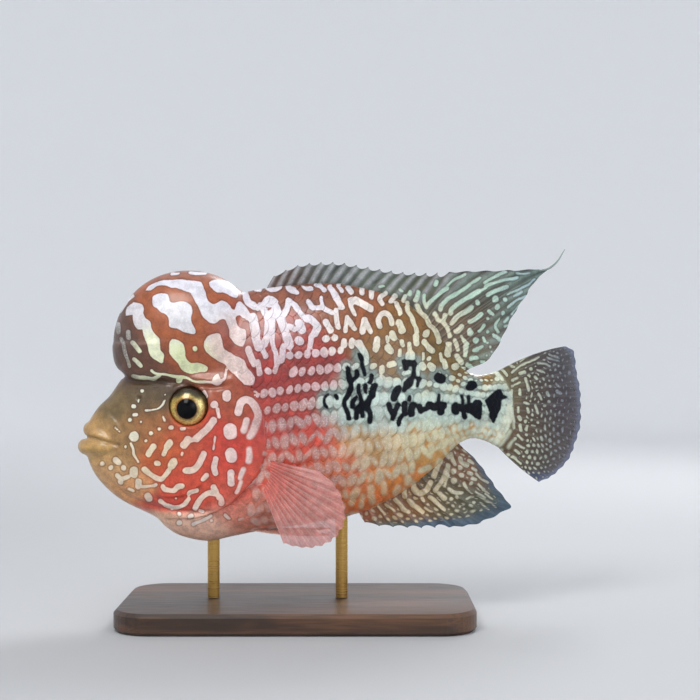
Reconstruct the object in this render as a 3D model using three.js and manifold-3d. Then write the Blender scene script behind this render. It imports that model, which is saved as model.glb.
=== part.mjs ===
// A flowerhorn cichlid as a still, life-size display model on a plain stand.
// Millimetres. The fish faces -X, its left side faces -Y, and +Z is up.
// The fish is first shaped straight, with its long axis along X and its middle plane at y = 0.
// Then everything behind BEND_START is bent towards +Y, and the whole is set over the stand.
import * as THREE from "three";
import { mergeVertices } from "three/addons/utils/BufferGeometryUtils.js";
import Module from "manifold-3d";

const wasm = await Module();
wasm.setup();

// Driving dimensions of the body
const GAP = 0.3;
const NOSE = [-104.5, -15.5];
const TAIL_END = 78;
const TAIL_CUT = 57;
const BEND_START = 8;
const BEND_PER_MM = 0.006;

// Side outline of the trunk, from the mouth backwards: the back without the hump, and the belly
const BACK_LINE = [
  NOSE, [-103.5, -9.5], [-99.5, -3], [-94.5, 2], [-90, 8.5], [-84, 16.5], [-73, 27.5], [-56, 39.5],
  [-38, 46], [-19, 49], [1, 50], [17, 47.5], [30, 43], [41.3, 35.3], [50.4, 23.9], [56.5, 14.8],
  [62, 11.3], [69, 10.9], [TAIL_END, 13.5],
];
const BELLY_LINE = [
  NOSE, [-104.3, -23], [-100, -33], [-90, -42.5], [-75, -50], [-70.5, -54.3], [-64, -58.2], [-52.5, -60.5],
  [-42, -58.5], [-27, -55.5], [-8, -52.8], [10.8, -48.8], [24, -43.5], [37, -35.6], [48.2, -26.3],
  [55, -20], [62, -17], [69, -18.2], [TAIL_END, -22.5],
];
// Half of the body's breadth, and the height of its broadest line
const HALF_BREADTH = [
  [NOSE[0], 0], [-104, 5.4], [-101, 8.6], [-95, 11], [-85, 14], [-75, 16.8], [-60, 19.6], [-45, 21.6],
  [-30, 22.6], [-10, 22.5], [10, 20], [30, 15.2], [45, 10.6], [58, 7], [69, 4.8], [TAIL_END, 3.4],
];
const BROADEST_HEIGHT = [NOSE, [-90, -17], [-60, -14], [-30, -9], [0, -5], [30, -3], [60, -3.2], [TAIL_END, -4.5]];
const UPPER_ROUNDNESS = 2;
const LOWER_ROUNDNESS = 2.2;

// The gill opening, which parts the head from the trunk, and the front edge of the gill cover
const GILL_LINE = [
  [-36.5, 60], [-38.5, 30], [-40.5, 12], [-34.5, 6], [-29.5, -6], [-28.5, -20], [-31.5, -32], [-38, -41],
  [-46, -47.5], [-57, -51], [-67, -51.2], [-75, -51.5], [-84, -60],
];
const COVER_FRONT = [[-47, 6], [-49.5, -8], [-50.5, -22], [-52, -33], [-55.5, -40]];
const COVER_REAR = [[-49, -45], [-39.5, -40.5], [-32.5, -32.5], [-27.8, -20], [-28.6, -5.5], [-34, 5.5], [-40, 9.5]];
const COVER_THICK = 1.1;

// The hump on the forehead
const HUMP = { x: -60.8, z: 24, length: 32.2, breadth: 20, up: 31.7, down: 19, roundUp: 2.05, roundDown: 2.8 };

// Eyes, lips and nostrils
const EYE = { x: -58.5, z: -2, y: 16.6, r: 8.2, depth: 5.4 };
const EYE_RIM = { r: 8.9, tube: 1.4, y: 18.2 };
const LIP = { cornerX: -91.5, reach: 12.6, breadth: 10.4 };
const UPPER_LIP = { frontZ: -12.6, cornerZ: -18.2, r: 3.3, reach: LIP.reach - 0.6 };
const LOWER_LIP = { frontZ: -19.6, cornerZ: -19.6, r: 3.6, reach: LIP.reach + 1.4 };
const NOSTRIL = { x: -82, z: 1.5, r: 1.3 };

// Fins: rays are counted as spines and soft rays
const MEMBRANE = 0.6;
const DORSAL = {
  spines: 16, rays: 12, from: -29, spinesTo: 39, to: 57.5, sunk: 3.5,
  margin: [[-30, 49.6], [-24, 53.5], [-14, 58], [-5, 59.3], [4, 59.3], [12.5, 58], [24.5, 56], [36, 55], [49, 55.2],
    [62, 56], [78.5, 56.7], [103, 58]],
  trailing: [[103, 58], [96, 52.5], [84.5, 38], [76, 24], [67.5, 14.6], [62, 13.6]],
  tipFrom: -24, tipSpinesTo: 52, tipTo: 103, onMargin: 5,
};
const ANAL = {
  spines: 7, rays: 9, from: 11, spinesTo: 33, to: 55, sunk: 3.5,
  margin: [[9, -50], [12.5, -51.6], [20.6, -54.2], [41, -55.5], [62, -55], [72.5, -52.3], [82, -47.9]],
  trailing: [[82, -47.9], [72.7, -36], [66.2, -28], [61, -23], [57.5, -20.3]],
  tipFrom: 15, tipSpinesTo: 52, tipTo: 82, onMargin: 4,
};
const CAUDAL = {
  rays: 17, root: 74, rootTop: 11.5, rootBottom: -19.5,
  margin: [[108, 22.6], [114, 23], [118.5, 20], [122.5, 5], [124, -7], [119, -22.5], [108, -33.5], [97, -37.4]],
};
// The left pectoral fin is spread, and the right one is held closer to the flank
const PECTORAL = { rays: 13, x: -28.5, z: -29, rise: 5.5, length: 38, lift: 14 };
const PECTORAL_SPREAD = { left: [-10, -66], right: [2, -44] };
const PELVIC = { rays: 6, x: -37, y: 6.5, z: -55.5, length: 38, spread: 7 };

// The stand
const CLEARANCE = 24;
const BASE = { length: 150, breadth: 78, thick: 9, corner: 16, bevel: 1.5, x: -14 };
const ROD = { r: 2.6, front: -50, rear: 5, sides: 16 };

// Uniform Catmull-Rom through the points, sampled evenly between each two
function curve(points, perSpan = 12) {
  const line = new THREE.SplineCurve(points.map(([x, z]) => new THREE.Vector2(x, z)));
  return line.getPoints((points.length - 1) * perSpan).map((p) => [p.x, p.y]);
}

// The second value of a sampled curve where its first value is x
function valueAt(samples, x) {
  let i = 1;
  while (i < samples.length - 1 && samples[i][0] < x) i += 1;
  const [a, b] = [samples[i - 1], samples[i]];
  const span = b[0] - a[0];
  const t = span > 1e-9 ? THREE.MathUtils.clamp((x - a[0]) / span, 0, 1) : 0;
  return a[1] + (b[1] - a[1]) * t;
}

const back = curve(BACK_LINE);
const belly = curve(BELLY_LINE);
const breadth = curve(HALF_BREADTH);
const broadest = curve(BROADEST_HEIGHT);

// The body's half breadth at a place of the side view, and 0 outside the outline
function breadthAt(x, z) {
  const middle = valueAt(broadest, x);
  const upper = z > middle;
  const reach = upper ? valueAt(back, x) - middle : middle - valueAt(belly, x);
  const power = upper ? UPPER_ROUNDNESS : LOWER_ROUNDNESS;
  const rest = 1 - Math.abs((z - middle) / reach) ** power;
  return rest > 0 ? valueAt(breadth, x) * rest ** (1 / power) : 0;
}

// A closed surface from rings of points, each ring with as many points, and a point at either end
function ringsGeometry(rings, first, last) {
  const around = rings[0].length;
  const positions = [first, ...rings.flat(), last].flatMap((p) => [p.x, p.y, p.z]);
  const index = [];
  const at = (ring, k) => 1 + ring * around + (k % around);
  for (let k = 0; k < around; k += 1) {
    index.push(0, at(0, k), at(0, k + 1));
    for (let r = 0; r < rings.length - 1; r += 1) {
      index.push(at(r, k), at(r + 1, k), at(r + 1, k + 1), at(r, k), at(r + 1, k + 1), at(r, k + 1));
    }
    index.push(1 + rings.length * around, at(rings.length - 1, k + 1), at(rings.length - 1, k));
  }
  const made = new THREE.BufferGeometry();
  made.setAttribute("position", new THREE.Float32BufferAttribute(positions, 3));
  made.setIndex(index);
  return made;
}

// A closed mesh as a solid for joining and cutting
function solid(geometry) {
  const plain = geometry.index ? geometry.toNonIndexed() : geometry.clone();
  const bare = new THREE.BufferGeometry();
  bare.setAttribute("position", plain.getAttribute("position"));
  const merged = mergeVertices(bare, 1e-4);
  const mesh = { numProp: 3, vertProperties: merged.attributes.position.array, triVerts: new Uint32Array(merged.index.array) };
  const made = new wasm.Manifold(new wasm.Mesh(mesh));
  if (made.volume() >= 0) return made;
  for (let i = 0; i < mesh.triVerts.length; i += 3) {
    [mesh.triVerts[i + 1], mesh.triVerts[i + 2]] = [mesh.triVerts[i + 2], mesh.triVerts[i + 1]];
  }
  return new wasm.Manifold(new wasm.Mesh(mesh));
}

// The trunk and head as one loft, grown outwards all round by the amount given
function bodySolid(grow, stations, around) {
  const rings = stations.map((x) => {
    const middle = valueAt(broadest, x);
    const up = valueAt(back, x) - middle + grow;
    const down = middle - valueAt(belly, x) + grow;
    const half = valueAt(breadth, x) + grow;
    return Array.from({ length: around }, (_, k) => {
      const angle = (2 * Math.PI * k) / around;
      const [c, s] = [Math.cos(angle), Math.sin(angle)];
      const power = 2 / (c >= 0 ? UPPER_ROUNDNESS : LOWER_ROUNDNESS);
      const rise = (c >= 0 ? up : -down) * Math.abs(c) ** power;
      return new THREE.Vector3(x, half * Math.sign(s) * Math.abs(s) ** power, middle + rise);
    });
  });
  const nose = new THREE.Vector3(NOSE[0] - grow, 0, NOSE[1]);
  const tail = new THREE.Vector3(TAIL_END + grow, 0, valueAt(broadest, TAIL_END));
  return solid(ringsGeometry(rings, nose, tail));
}

const stations = [-104.35, -103.9, -103, -101.5, -99.5, -96.5, -93, -89];
for (let x = -84.5; x < 76; x += 5.4) stations.push(x);
stations.push(TAIL_END);
const AROUND = 28;
const body = bodySolid(0, stations, AROUND);
const bodyGrown = bodySolid(GAP, stations, AROUND);
const bodyCover = bodySolid(GAP + COVER_THICK, stations, AROUND);

// A prism across the fish from an outline in the side view
function prism(points, halfBreadth = 60) {
  const shape = new THREE.Shape(points.map(([x, z]) => new THREE.Vector2(x, z)));
  const made = new THREE.ExtrudeGeometry(shape, { depth: 2 * halfBreadth, bevelEnabled: false });
  return solid(made.rotateX(Math.PI / 2).translate(0, halfBreadth, 0));
}

// The side-view region in front of the gill opening, its edge moved back by the amount given
function headRegion(moved) {
  const edge = curve(GILL_LINE, 3);
  const shifted = edge.map(([x, z], i) => {
    const [a, b] = [edge[Math.max(i - 1, 0)], edge[Math.min(i + 1, edge.length - 1)]];
    const step = Math.hypot(b[0] - a[0], b[1] - a[1]);
    return [x - ((b[1] - a[1]) / step) * moved, z + ((b[0] - a[0]) / step) * moved];
  });
  return prism([[-130, 60], ...shifted, [-130, -60]]);
}

function block(x0, x1, y0 = -60, y1 = 60, z0 = -90, z1 = 90) {
  const made = new THREE.BoxGeometry(x1 - x0, y1 - y0, z1 - z0);
  return solid(made.translate((x0 + x1) / 2, (y0 + y1) / 2, (z0 + z1) / 2));
}

// Hump: an egg that is fuller above than below
function humpSolid() {
  const [across, around] = [14, 26];
  const point = (u, v) => {
    const [cu, su] = [Math.cos(u), Math.sin(u)];
    const [cv, sv] = [Math.cos(v), Math.sin(v)];
    const power = 2 / (cv >= 0 ? HUMP.roundUp : HUMP.roundDown);
    const bent = (value) => Math.sign(value) * Math.abs(value) ** power;
    const height = (cv >= 0 ? HUMP.up : HUMP.down) * bent(cv) * Math.abs(su) ** power;
    return new THREE.Vector3(
      HUMP.x - HUMP.length * bent(cu),
      HUMP.breadth * Math.abs(su) ** power * bent(sv),
      HUMP.z + height,
    );
  };
  const rings = [];
  for (let i = 1; i < across; i += 1) {
    const u = (Math.PI * i) / across;
    rings.push(Array.from({ length: around }, (_, k) => point(u, (2 * Math.PI * k) / around)));
  }
  return solid(ringsGeometry(rings, point(0, Math.PI / 2), point(Math.PI, Math.PI / 2)));
}

// A ball drawn out along each axis
function ball(x, y, z, rx, ry, rz, wide, high) {
  const made = new THREE.SphereGeometry(1, wide, high).rotateX(Math.PI / 2);
  return solid(made.scale(rx, ry, rz).translate(x, y, z));
}

// A tube along a line of points, with a radius at each, closed by a point at either end
function tube(points, radii, sides) {
  const rings = points.map((p, i) => {
    const ahead = points[Math.min(i + 1, points.length - 1)].clone();
    const along = ahead.sub(points[Math.max(i - 1, 0)]).normalize();
    const side = new THREE.Vector3(0, 0, 1).cross(along).normalize();
    const rise = along.clone().cross(side);
    return Array.from({ length: sides }, (_, k) => {
      const angle = (2 * Math.PI * k) / sides;
      const out = side.clone().multiplyScalar(Math.cos(angle)).addScaledVector(rise, Math.sin(angle));
      return p.clone().addScaledVector(out, radii[i]);
    });
  });
  return solid(ringsGeometry(rings, points[0], points[points.length - 1]));
}

// A lip runs round the front of the mouth from one corner to the other
function lipSolid({ frontZ, cornerZ, r, reach }) {
  const steps = 16;
  const points = [];
  const radii = [];
  for (let i = 0; i <= steps; i += 1) {
    const angle = -Math.PI / 2 + (Math.PI * i) / steps;
    const front = Math.cos(angle);
    const z = cornerZ + (frontZ - cornerZ) * front;
    points.push(new THREE.Vector3(LIP.cornerX - reach * front, LIP.breadth * Math.sin(angle), z));
    radii.push(r * (0.5 + 0.5 * Math.sqrt(front)));
  }
  return tube(points, radii, 10);
}

function eyeSolid(side, grow = 0) {
  return ball(EYE.x, side * EYE.y, EYE.z, EYE.r + grow, EYE.depth + grow, EYE.r + grow, 18, 8);
}

function eyeRim(side) {
  const ring = new THREE.TorusGeometry(EYE_RIM.r, EYE_RIM.tube, 8, 24).rotateX(Math.PI / 2);
  return solid(ring.translate(EYE.x, side * EYE_RIM.y, EYE.z));
}

function headSolid() {
  let made = body.intersect(headRegion(0));
  made = made.add(lipSolid(UPPER_LIP)).add(lipSolid(LOWER_LIP));
  for (const side of [-1, 1]) {
    const nostrilY = side * breadthAt(NOSTRIL.x, NOSTRIL.z);
    made = made.add(eyeRim(side)).subtract(eyeSolid(side, GAP));
    made = made.subtract(ball(NOSTRIL.x, nostrilY, NOSTRIL.z, NOSTRIL.r, NOSTRIL.r, NOSTRIL.r, 8, 6));
  }
  return made;
}

// The gill cover lies on the cheek and reaches a little past the gill opening as a free flap
function gillCover(side) {
  const edge = [...curve(COVER_FRONT, 3), ...curve(COVER_REAR, 3)];
  const half = side < 0 ? block(-80, 0, -60, 0) : block(-80, 0, 0, 60);
  return bodyCover.subtract(bodyGrown).intersect(prism(edge)).intersect(half);
}

// A sheet from a grid of middle points, each with the half thickness there and the way it is thick
function sheetSolid(grid) {
  const [columns, rows] = [grid.length, grid[0].length];
  const positions = [];
  for (const face of [1, -1]) {
    for (const column of grid) {
      for (const { p, n, half } of column) {
        positions.push(p.x + face * n.x * half, p.y + face * n.y * half, p.z + face * n.z * half);
      }
    }
  }
  const at = (face, i, j) => (face * columns + i) * rows + j;
  const index = [];
  const quad = (a, b, c, d) => index.push(a, b, c, a, c, d);
  for (let i = 0; i < columns - 1; i += 1) {
    for (let j = 0; j < rows - 1; j += 1) {
      quad(at(0, i, j), at(0, i + 1, j), at(0, i + 1, j + 1), at(0, i, j + 1));
      index.push(at(1, i, j), at(1, i + 1, j + 1), at(1, i + 1, j));
      index.push(at(1, i, j), at(1, i, j + 1), at(1, i + 1, j + 1));
    }
    quad(at(1, i, 0), at(1, i + 1, 0), at(0, i + 1, 0), at(0, i, 0));
    quad(at(0, i, rows - 1), at(0, i + 1, rows - 1), at(1, i + 1, rows - 1), at(1, i, rows - 1));
  }
  for (let j = 0; j < rows - 1; j += 1) {
    quad(at(0, 0, j), at(0, 0, j + 1), at(1, 0, j + 1), at(1, 0, j));
    quad(at(1, columns - 1, j), at(1, columns - 1, j + 1), at(0, columns - 1, j + 1), at(0, columns - 1, j));
  }
  const made = new THREE.BufferGeometry();
  made.setAttribute("position", new THREE.Float32BufferAttribute(positions, 3));
  made.setIndex(index);
  return solid(made);
}

// A fin from its rays. Between each two rays the membrane is thinner, and its edge is drawn in.
// bow is how far a ray's middle bends from the straight line, as a share of its length.
function finSolid(rays, { rows = 7, rayThick = 1.5, tipThick = 0.7, notch = () => 0.04, bow = 0.04, spread }) {
  const across = spread ?? (() => new THREE.Vector3(0, 1, 0));
  const place = ({ root, tip, bend }, t) => {
    const p = root.clone().lerp(tip, t);
    return p.addScaledVector(bend, 4 * t * (1 - t) * root.distanceTo(tip) * bow);
  };
  const grid = [];
  rays.forEach((ray, i) => {
    const crest = [];
    for (let j = 0; j < rows; j += 1) {
      const t = j / (rows - 1);
      const half = (rayThick + (tipThick - rayThick) * t) / 2;
      crest.push({ p: place(ray, t), n: across(i, t), half });
    }
    grid.push(crest);
    if (i === rays.length - 1) return;
    const valley = [];
    const next = rays[i + 1];
    for (let j = 0; j < rows; j += 1) {
      const t = (j / (rows - 1)) * (1 - notch(i));
      const p = place(ray, t).add(place(next, t)).multiplyScalar(0.5);
      valley.push({ p, n: across(i + 0.5, t), half: MEMBRANE / 2 });
    }
    grid.push(valley);
  });
  return sheetSolid(grid);
}

const flat = (x, z) => new THREE.Vector3(x, 0, z);

// The place at a share of a sampled line's length
function alongLine(samples, share) {
  const lengths = [0];
  for (let i = 1; i < samples.length; i += 1) {
    lengths.push(lengths[i - 1] + Math.hypot(samples[i][0] - samples[i - 1][0], samples[i][1] - samples[i - 1][1]));
  }
  const wanted = share * lengths[lengths.length - 1];
  let i = 1;
  while (i < samples.length - 1 && lengths[i] < wanted) i += 1;
  const t = (wanted - lengths[i - 1]) / (lengths[i] - lengths[i - 1]);
  return samples[i - 1].map((value, axis) => value + (samples[i][axis] - value) * t);
}

// Dorsal and anal fin: roots along the body's outline, tips along the margin and then down the rear edge
function medianFin(fin, outline, inward) {
  const margin = curve(fin.margin);
  const trailing = curve(fin.trailing);
  const count = fin.spines + fin.rays;
  const rays = [];
  for (let i = 0; i < count; i += 1) {
    const soft = i - fin.spines + 1;
    const x = soft <= 0
      ? fin.from + ((fin.spinesTo - fin.from) * i) / (fin.spines - 1)
      : fin.spinesTo + ((fin.to - fin.spinesTo) * soft) / fin.rays;
    const root = flat(x, valueAt(outline, x) + inward * fin.sunk);
    let tip;
    if (soft <= 0) {
      const tipX = fin.tipFrom + ((fin.tipSpinesTo - fin.tipFrom) * i) / (fin.spines - 1);
      tip = flat(tipX, valueAt(margin, tipX));
    } else if (soft <= fin.onMargin) {
      const tipX = fin.tipSpinesTo + (fin.tipTo - fin.tipSpinesTo) * (soft / fin.onMargin) ** 1.15;
      tip = flat(tipX, valueAt(margin, tipX));
    } else {
      const [tipX, tipZ] = alongLine(trailing, (soft - fin.onMargin) / (fin.rays - fin.onMargin));
      tip = flat(tipX, tipZ);
    }
    rays.push({ root, tip, bend: flat(0, -inward) });
  }
  return rays;
}

function dorsalSolid() {
  const rays = medianFin(DORSAL, back, -1);
  const notch = (i) => (i < DORSAL.spines ? 0.12 : 0.03);
  const fin = finSolid(rays, { rows: 7, rayThick: 1.7, tipThick: 0.8, notch, bow: 0.05 });
  const filament = [flat(98, 57.2), flat(103, 58.2), flat(108, 61.5), flat(112.5, 67)];
  return fin.add(tube(filament, [0.5, 0.5, 0.4, 0.3], 6));
}

function analSolid() {
  const rays = medianFin(ANAL, belly, 1);
  const notch = (i) => (i < ANAL.spines ? 0.08 : 0.03);
  return finSolid(rays, { rows: 6, rayThick: 1.6, tipThick: 0.7, notch, bow: 0.05 });
}

function caudalSolid() {
  const margin = curve(CAUDAL.margin);
  const rays = [];
  for (let i = 0; i < CAUDAL.rays; i += 1) {
    const share = i / (CAUDAL.rays - 1);
    const root = flat(CAUDAL.root, CAUDAL.rootTop + (CAUDAL.rootBottom - CAUDAL.rootTop) * share);
    const [x, z] = alongLine(margin, share);
    rays.push({ root, tip: flat(x, z), bend: flat(0, 1 - 2 * share) });
  }
  return finSolid(rays, { rows: 8, rayThick: 1.8, tipThick: 0.6, notch: () => 0.02, bow: 0.04 });
}

// A pectoral fin fans from the flank just behind the gill cover and stands a little off the side
function pectoralSolid(side, [upper, lower]) {
  const rays = [];
  const lift = THREE.MathUtils.degToRad(PECTORAL.lift);
  for (let i = 0; i < PECTORAL.rays; i += 1) {
    const share = i / (PECTORAL.rays - 1);
    const angle = THREE.MathUtils.degToRad(upper + (lower - upper) * share);
    const length = PECTORAL.length * (0.6 + 0.4 * Math.sin(Math.PI * share ** 0.8));
    const x = PECTORAL.x + 1.5 * Math.sin(Math.PI * share);
    const z = PECTORAL.z + PECTORAL.rise * (1 - 2 * share);
    const y = breadthAt(x, z) - 2.5;
    const root = new THREE.Vector3(x, side * y, z);
    const reach = new THREE.Vector3(
      Math.cos(angle) * Math.cos(lift),
      side * (Math.sin(lift) + 0.12 + 0.12 * share),
      Math.sin(angle),
    );
    const tip = root.clone().addScaledVector(reach, length + 2.5);
    rays.push({ root, tip, bend: new THREE.Vector3(0, side, 0) });
  }
  const spread = () => new THREE.Vector3(-0.25, side, 0.1).normalize();
  return finSolid(rays, { rows: 6, rayThick: 1.1, tipThick: 0.6, notch: () => 0.03, bow: 0.06, spread });
}

// A pelvic fin lies back along the belly, its first ray outermost and longest
function pelvicSolid(side) {
  const rays = [];
  for (let i = 0; i < PELVIC.rays; i += 1) {
    const share = i / (PELVIC.rays - 1);
    const root = new THREE.Vector3(PELVIC.x + 3.5 * share, side * (PELVIC.y - 2.5 * share), PELVIC.z + 1.5);
    const tip = new THREE.Vector3(
      PELVIC.x + PELVIC.length * (1 - 0.32 * share ** 1.3),
      side * (PELVIC.y + 4.5 - PELVIC.spread * share),
      PELVIC.z - 1 + 1.2 * share,
    );
    rays.push({ root, tip, bend: flat(0, -1) });
  }
  const spread = () => new THREE.Vector3(0, side * 0.35, 1).normalize();
  return finSolid(rays, { rows: 6, rayThick: 1.2, tipThick: 0.6, notch: () => 0.04, bow: 0.045, spread });
}

// The floor of the stand, in the fish's own heights
const lowest = -61;
const baseTop = lowest - CLEARANCE;

function baseSolid() {
  const [halfX, halfY, c] = [BASE.length / 2, BASE.breadth / 2, BASE.corner];
  const shape = new THREE.Shape();
  shape.moveTo(-halfX + c, -halfY);
  shape.lineTo(halfX - c, -halfY);
  shape.absarc(halfX - c, -halfY + c, c, -Math.PI / 2, 0, false);
  shape.lineTo(halfX, halfY - c);
  shape.absarc(halfX - c, halfY - c, c, 0, Math.PI / 2, false);
  shape.lineTo(-halfX + c, halfY);
  shape.absarc(-halfX + c, halfY - c, c, Math.PI / 2, Math.PI, false);
  shape.lineTo(-halfX, -halfY + c);
  shape.absarc(-halfX + c, -halfY + c, c, Math.PI, 1.5 * Math.PI, false);
  const depth = BASE.thick - 2 * BASE.bevel;
  const bevel = { bevelThickness: BASE.bevel, bevelSize: BASE.bevel, bevelOffset: -BASE.bevel, bevelSegments: 1 };
  const made = new THREE.ExtrudeGeometry(shape, { depth, curveSegments: 5, ...bevel });
  return solid(made.translate(BASE.x, 0, baseTop - BASE.thick + BASE.bevel));
}

function rodSolid(x) {
  const low = baseTop + GAP;
  const high = valueAt(belly, x) + 6;
  const made = new THREE.CylinderGeometry(ROD.r, ROD.r, high - low, ROD.sides).rotateX(Math.PI / 2);
  return solid(made.translate(x, 0, (low + high) / 2)).subtract(bodyGrown);
}

// The largest closed piece of a solid
function largest(made) {
  return made.decompose().reduce((a, b) => (b.volume() > a.volume() ? b : a));
}

// Bends a point of the straight fish towards +Y behind BEND_START
function bend(p) {
  const past = p.x - BEND_START;
  if (past <= 0) return p;
  const angle = past * BEND_PER_MM;
  const radius = 1 / BEND_PER_MM;
  const inner = radius - p.y;
  return new THREE.Vector3(BEND_START + inner * Math.sin(angle), radius - inner * Math.cos(angle), p.z);
}

function geometryOf(made, bent) {
  const { numProp, numVert, vertProperties, triVerts } = made.getMesh();
  const positions = [];
  for (let i = 0; i < numVert; i += 1) {
    const p = new THREE.Vector3(...vertProperties.subarray(i * numProp, i * numProp + 3));
    const q = bent ? bend(p) : p;
    positions.push(q.x, q.y, q.z);
  }
  const geometry = new THREE.BufferGeometry();
  geometry.setAttribute("position", new THREE.Float32BufferAttribute(positions, 3));
  geometry.setIndex([...triVerts]);
  geometry.computeVertexNormals();
  return geometry;
}

const FINISH = {
  flank: { color: 0xb4553a, roughness: 0.35, metalness: 0 },
  face: { color: 0xb9683c, roughness: 0.35, metalness: 0 },
  hump: { color: 0xb0562e, roughness: 0.3, metalness: 0 },
  fin: { color: 0x6f6a52, roughness: 0.4, metalness: 0 },
  paleFin: { color: 0xc98b78, roughness: 0.4, metalness: 0 },
  eye: { color: 0xc2a94f, roughness: 0.1, metalness: 0 },
  wood: { color: 0x3b2a20, roughness: 0.45, metalness: 0 },
  brass: { color: 0xb08d4a, roughness: 0.3, metalness: 1 },
};

const fish = new THREE.Group();
function add(name, made, finish, bent = true) {
  const mesh = new THREE.Mesh(geometryOf(largest(made), bent), new THREE.MeshStandardMaterial(FINISH[finish]));
  mesh.name = name;
  fish.add(mesh);
}

const head = headSolid();
const headGrown = bodyGrown.intersect(headRegion(GAP));
const torso = body.subtract(headRegion(GAP)).intersect(block(-120, TAIL_CUT));
add("head", head, "face");
add("nuchal_hump", humpSolid().subtract(bodyGrown), "hump");
add("torso", torso, "flank");
add("tail", body.intersect(block(TAIL_CUT + GAP, 100)), "flank");
for (const [side, word] of [[-1, "left"], [1, "right"]]) {
  add(`gill_cover_${word}`, gillCover(side), "face");
  add(`eye_${word}`, eyeSolid(side), "eye");
  add(`pectoral_fin_${word}`, pectoralSolid(side, PECTORAL_SPREAD[word]).subtract(bodyGrown), "paleFin");
  add(`pelvic_fin_${word}`, pelvicSolid(side).subtract(bodyGrown), "paleFin");
}
add("dorsal_fin", dorsalSolid().subtract(bodyGrown), "fin");
add("anal_fin", analSolid().subtract(bodyGrown), "fin");
add("caudal_fin", caudalSolid().subtract(bodyGrown), "fin");
add("stand_base", baseSolid(), "wood", false);
add("stand_rod_front", rodSolid(ROD.front), "brass", false);
add("stand_rod_rear", rodSolid(ROD.rear), "brass", false);

// The origin is under the middle of the model, on the surface it stands on
const box = new THREE.Box3().setFromObject(fish);
const centre = box.getCenter(new THREE.Vector3());
fish.children.forEach((mesh) => mesh.position.set(-centre.x, -centre.y, -box.min.z));

export default fish;
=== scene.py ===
"""A flowerhorn cichlid as a life-size display model: skin, scales, fins, eyes, stand and studio.

Shapes are worked out in millimetres on a straight fish. Its long axis is X, with the mouth at the
low end, its left side is at negative y, and z is up. bent() then bends the rear of it to its right,
and placed() sets it over the stand, in metres. The far side of the fish mirrors the near side.
"""

import math

import bpy
import numpy as np
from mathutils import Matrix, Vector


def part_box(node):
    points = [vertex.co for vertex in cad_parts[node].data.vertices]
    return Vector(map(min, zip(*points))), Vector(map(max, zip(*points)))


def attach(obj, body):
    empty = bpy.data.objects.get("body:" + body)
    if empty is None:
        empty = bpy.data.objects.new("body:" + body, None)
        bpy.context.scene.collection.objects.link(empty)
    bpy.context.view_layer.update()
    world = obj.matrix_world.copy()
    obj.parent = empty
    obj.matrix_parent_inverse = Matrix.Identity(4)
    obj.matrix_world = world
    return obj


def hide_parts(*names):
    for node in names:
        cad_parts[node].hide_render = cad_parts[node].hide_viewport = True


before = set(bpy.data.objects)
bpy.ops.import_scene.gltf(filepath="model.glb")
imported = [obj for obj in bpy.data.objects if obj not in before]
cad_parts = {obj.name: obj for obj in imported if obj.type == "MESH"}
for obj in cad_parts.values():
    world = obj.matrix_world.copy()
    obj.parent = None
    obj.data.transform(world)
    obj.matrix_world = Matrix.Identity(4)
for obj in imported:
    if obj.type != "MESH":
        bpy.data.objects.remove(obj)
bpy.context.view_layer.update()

MM = 0.001

# Where the straight fish's origin lies in the frame: the stand's plate is 9 mm thick and 85 mm below it
PLATE_MIDDLE_X = -14.0
PLATE_TOP_Z = -85.0
plate_low, plate_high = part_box("stand_base")
ORIGIN = np.array([
    (plate_low.x + plate_high.x) / 2 - PLATE_MIDDLE_X * MM,
    (plate_low.y + plate_high.y) / 2,
    plate_high.z - PLATE_TOP_Z * MM,
])

# The camera, in the straight fish's millimetres: it looks along +Y and sees VIEW_WIDTH at the middle plane
CAMERA = np.array([8.6, -600.0, 21.5])
VIEW_WIDTH = 301.0

# The trunk's side outline, its half breadth and the height of its broadest line
NOSE_X = -104.5
NOSE_Z = -15.5
TAIL_END = 84.0
BACK_LINE = [
    (NOSE_X, NOSE_Z), (-103.5, -9.5), (-99.5, -3), (-94.5, 2), (-90, 8.5), (-84, 16.5), (-73, 27.5),
    (-56, 39.5), (-38, 46), (-19, 49), (1, 50), (17, 47.5), (30, 43), (41.3, 35.3), (50.4, 23.9),
    (56.5, 14.8), (62, 11.3), (69, 10.9), (78, 13.5), (TAIL_END, 15.4),
]
BELLY_LINE = [
    (NOSE_X, NOSE_Z), (-104.3, -23), (-100, -33), (-90, -42.5), (-75, -50), (-70.5, -54.3),
    (-64, -58.2), (-52.5, -60.5), (-42, -58.5), (-27, -55.5), (-8, -52.8), (10.8, -48.8), (24, -43.5),
    (37, -35.6), (48.2, -26.3), (55, -20), (62, -17), (69, -18.2), (78, -22.5), (TAIL_END, -26.0),
]
HALF_BREADTH = [
    (NOSE_X, 0), (-104, 5.4), (-101, 8.6), (-95, 11), (-85, 14), (-75, 16.8), (-60, 19.6), (-45, 21.6),
    (-30, 22.6), (-10, 22.5), (10, 20), (30, 15.2), (45, 10.6), (58, 7), (69, 4.7), (76, 2.9), (80, 1.6),
    (TAIL_END, 0.45),
]
BROADEST_HEIGHT = [
    (NOSE_X, NOSE_Z), (-90, -17), (-60, -14), (-30, -9), (0, -5), (30, -3), (60, -3.2), (78, -4.5),
    (TAIL_END, -5.3),
]
UPPER_ROUNDNESS = 2.0
LOWER_ROUNDNESS = 2.2

# The bend towards the fish's right, in radians for each millimetre behind its start
BEND_START = 8.0
BEND_PER_MM = 0.006

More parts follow.
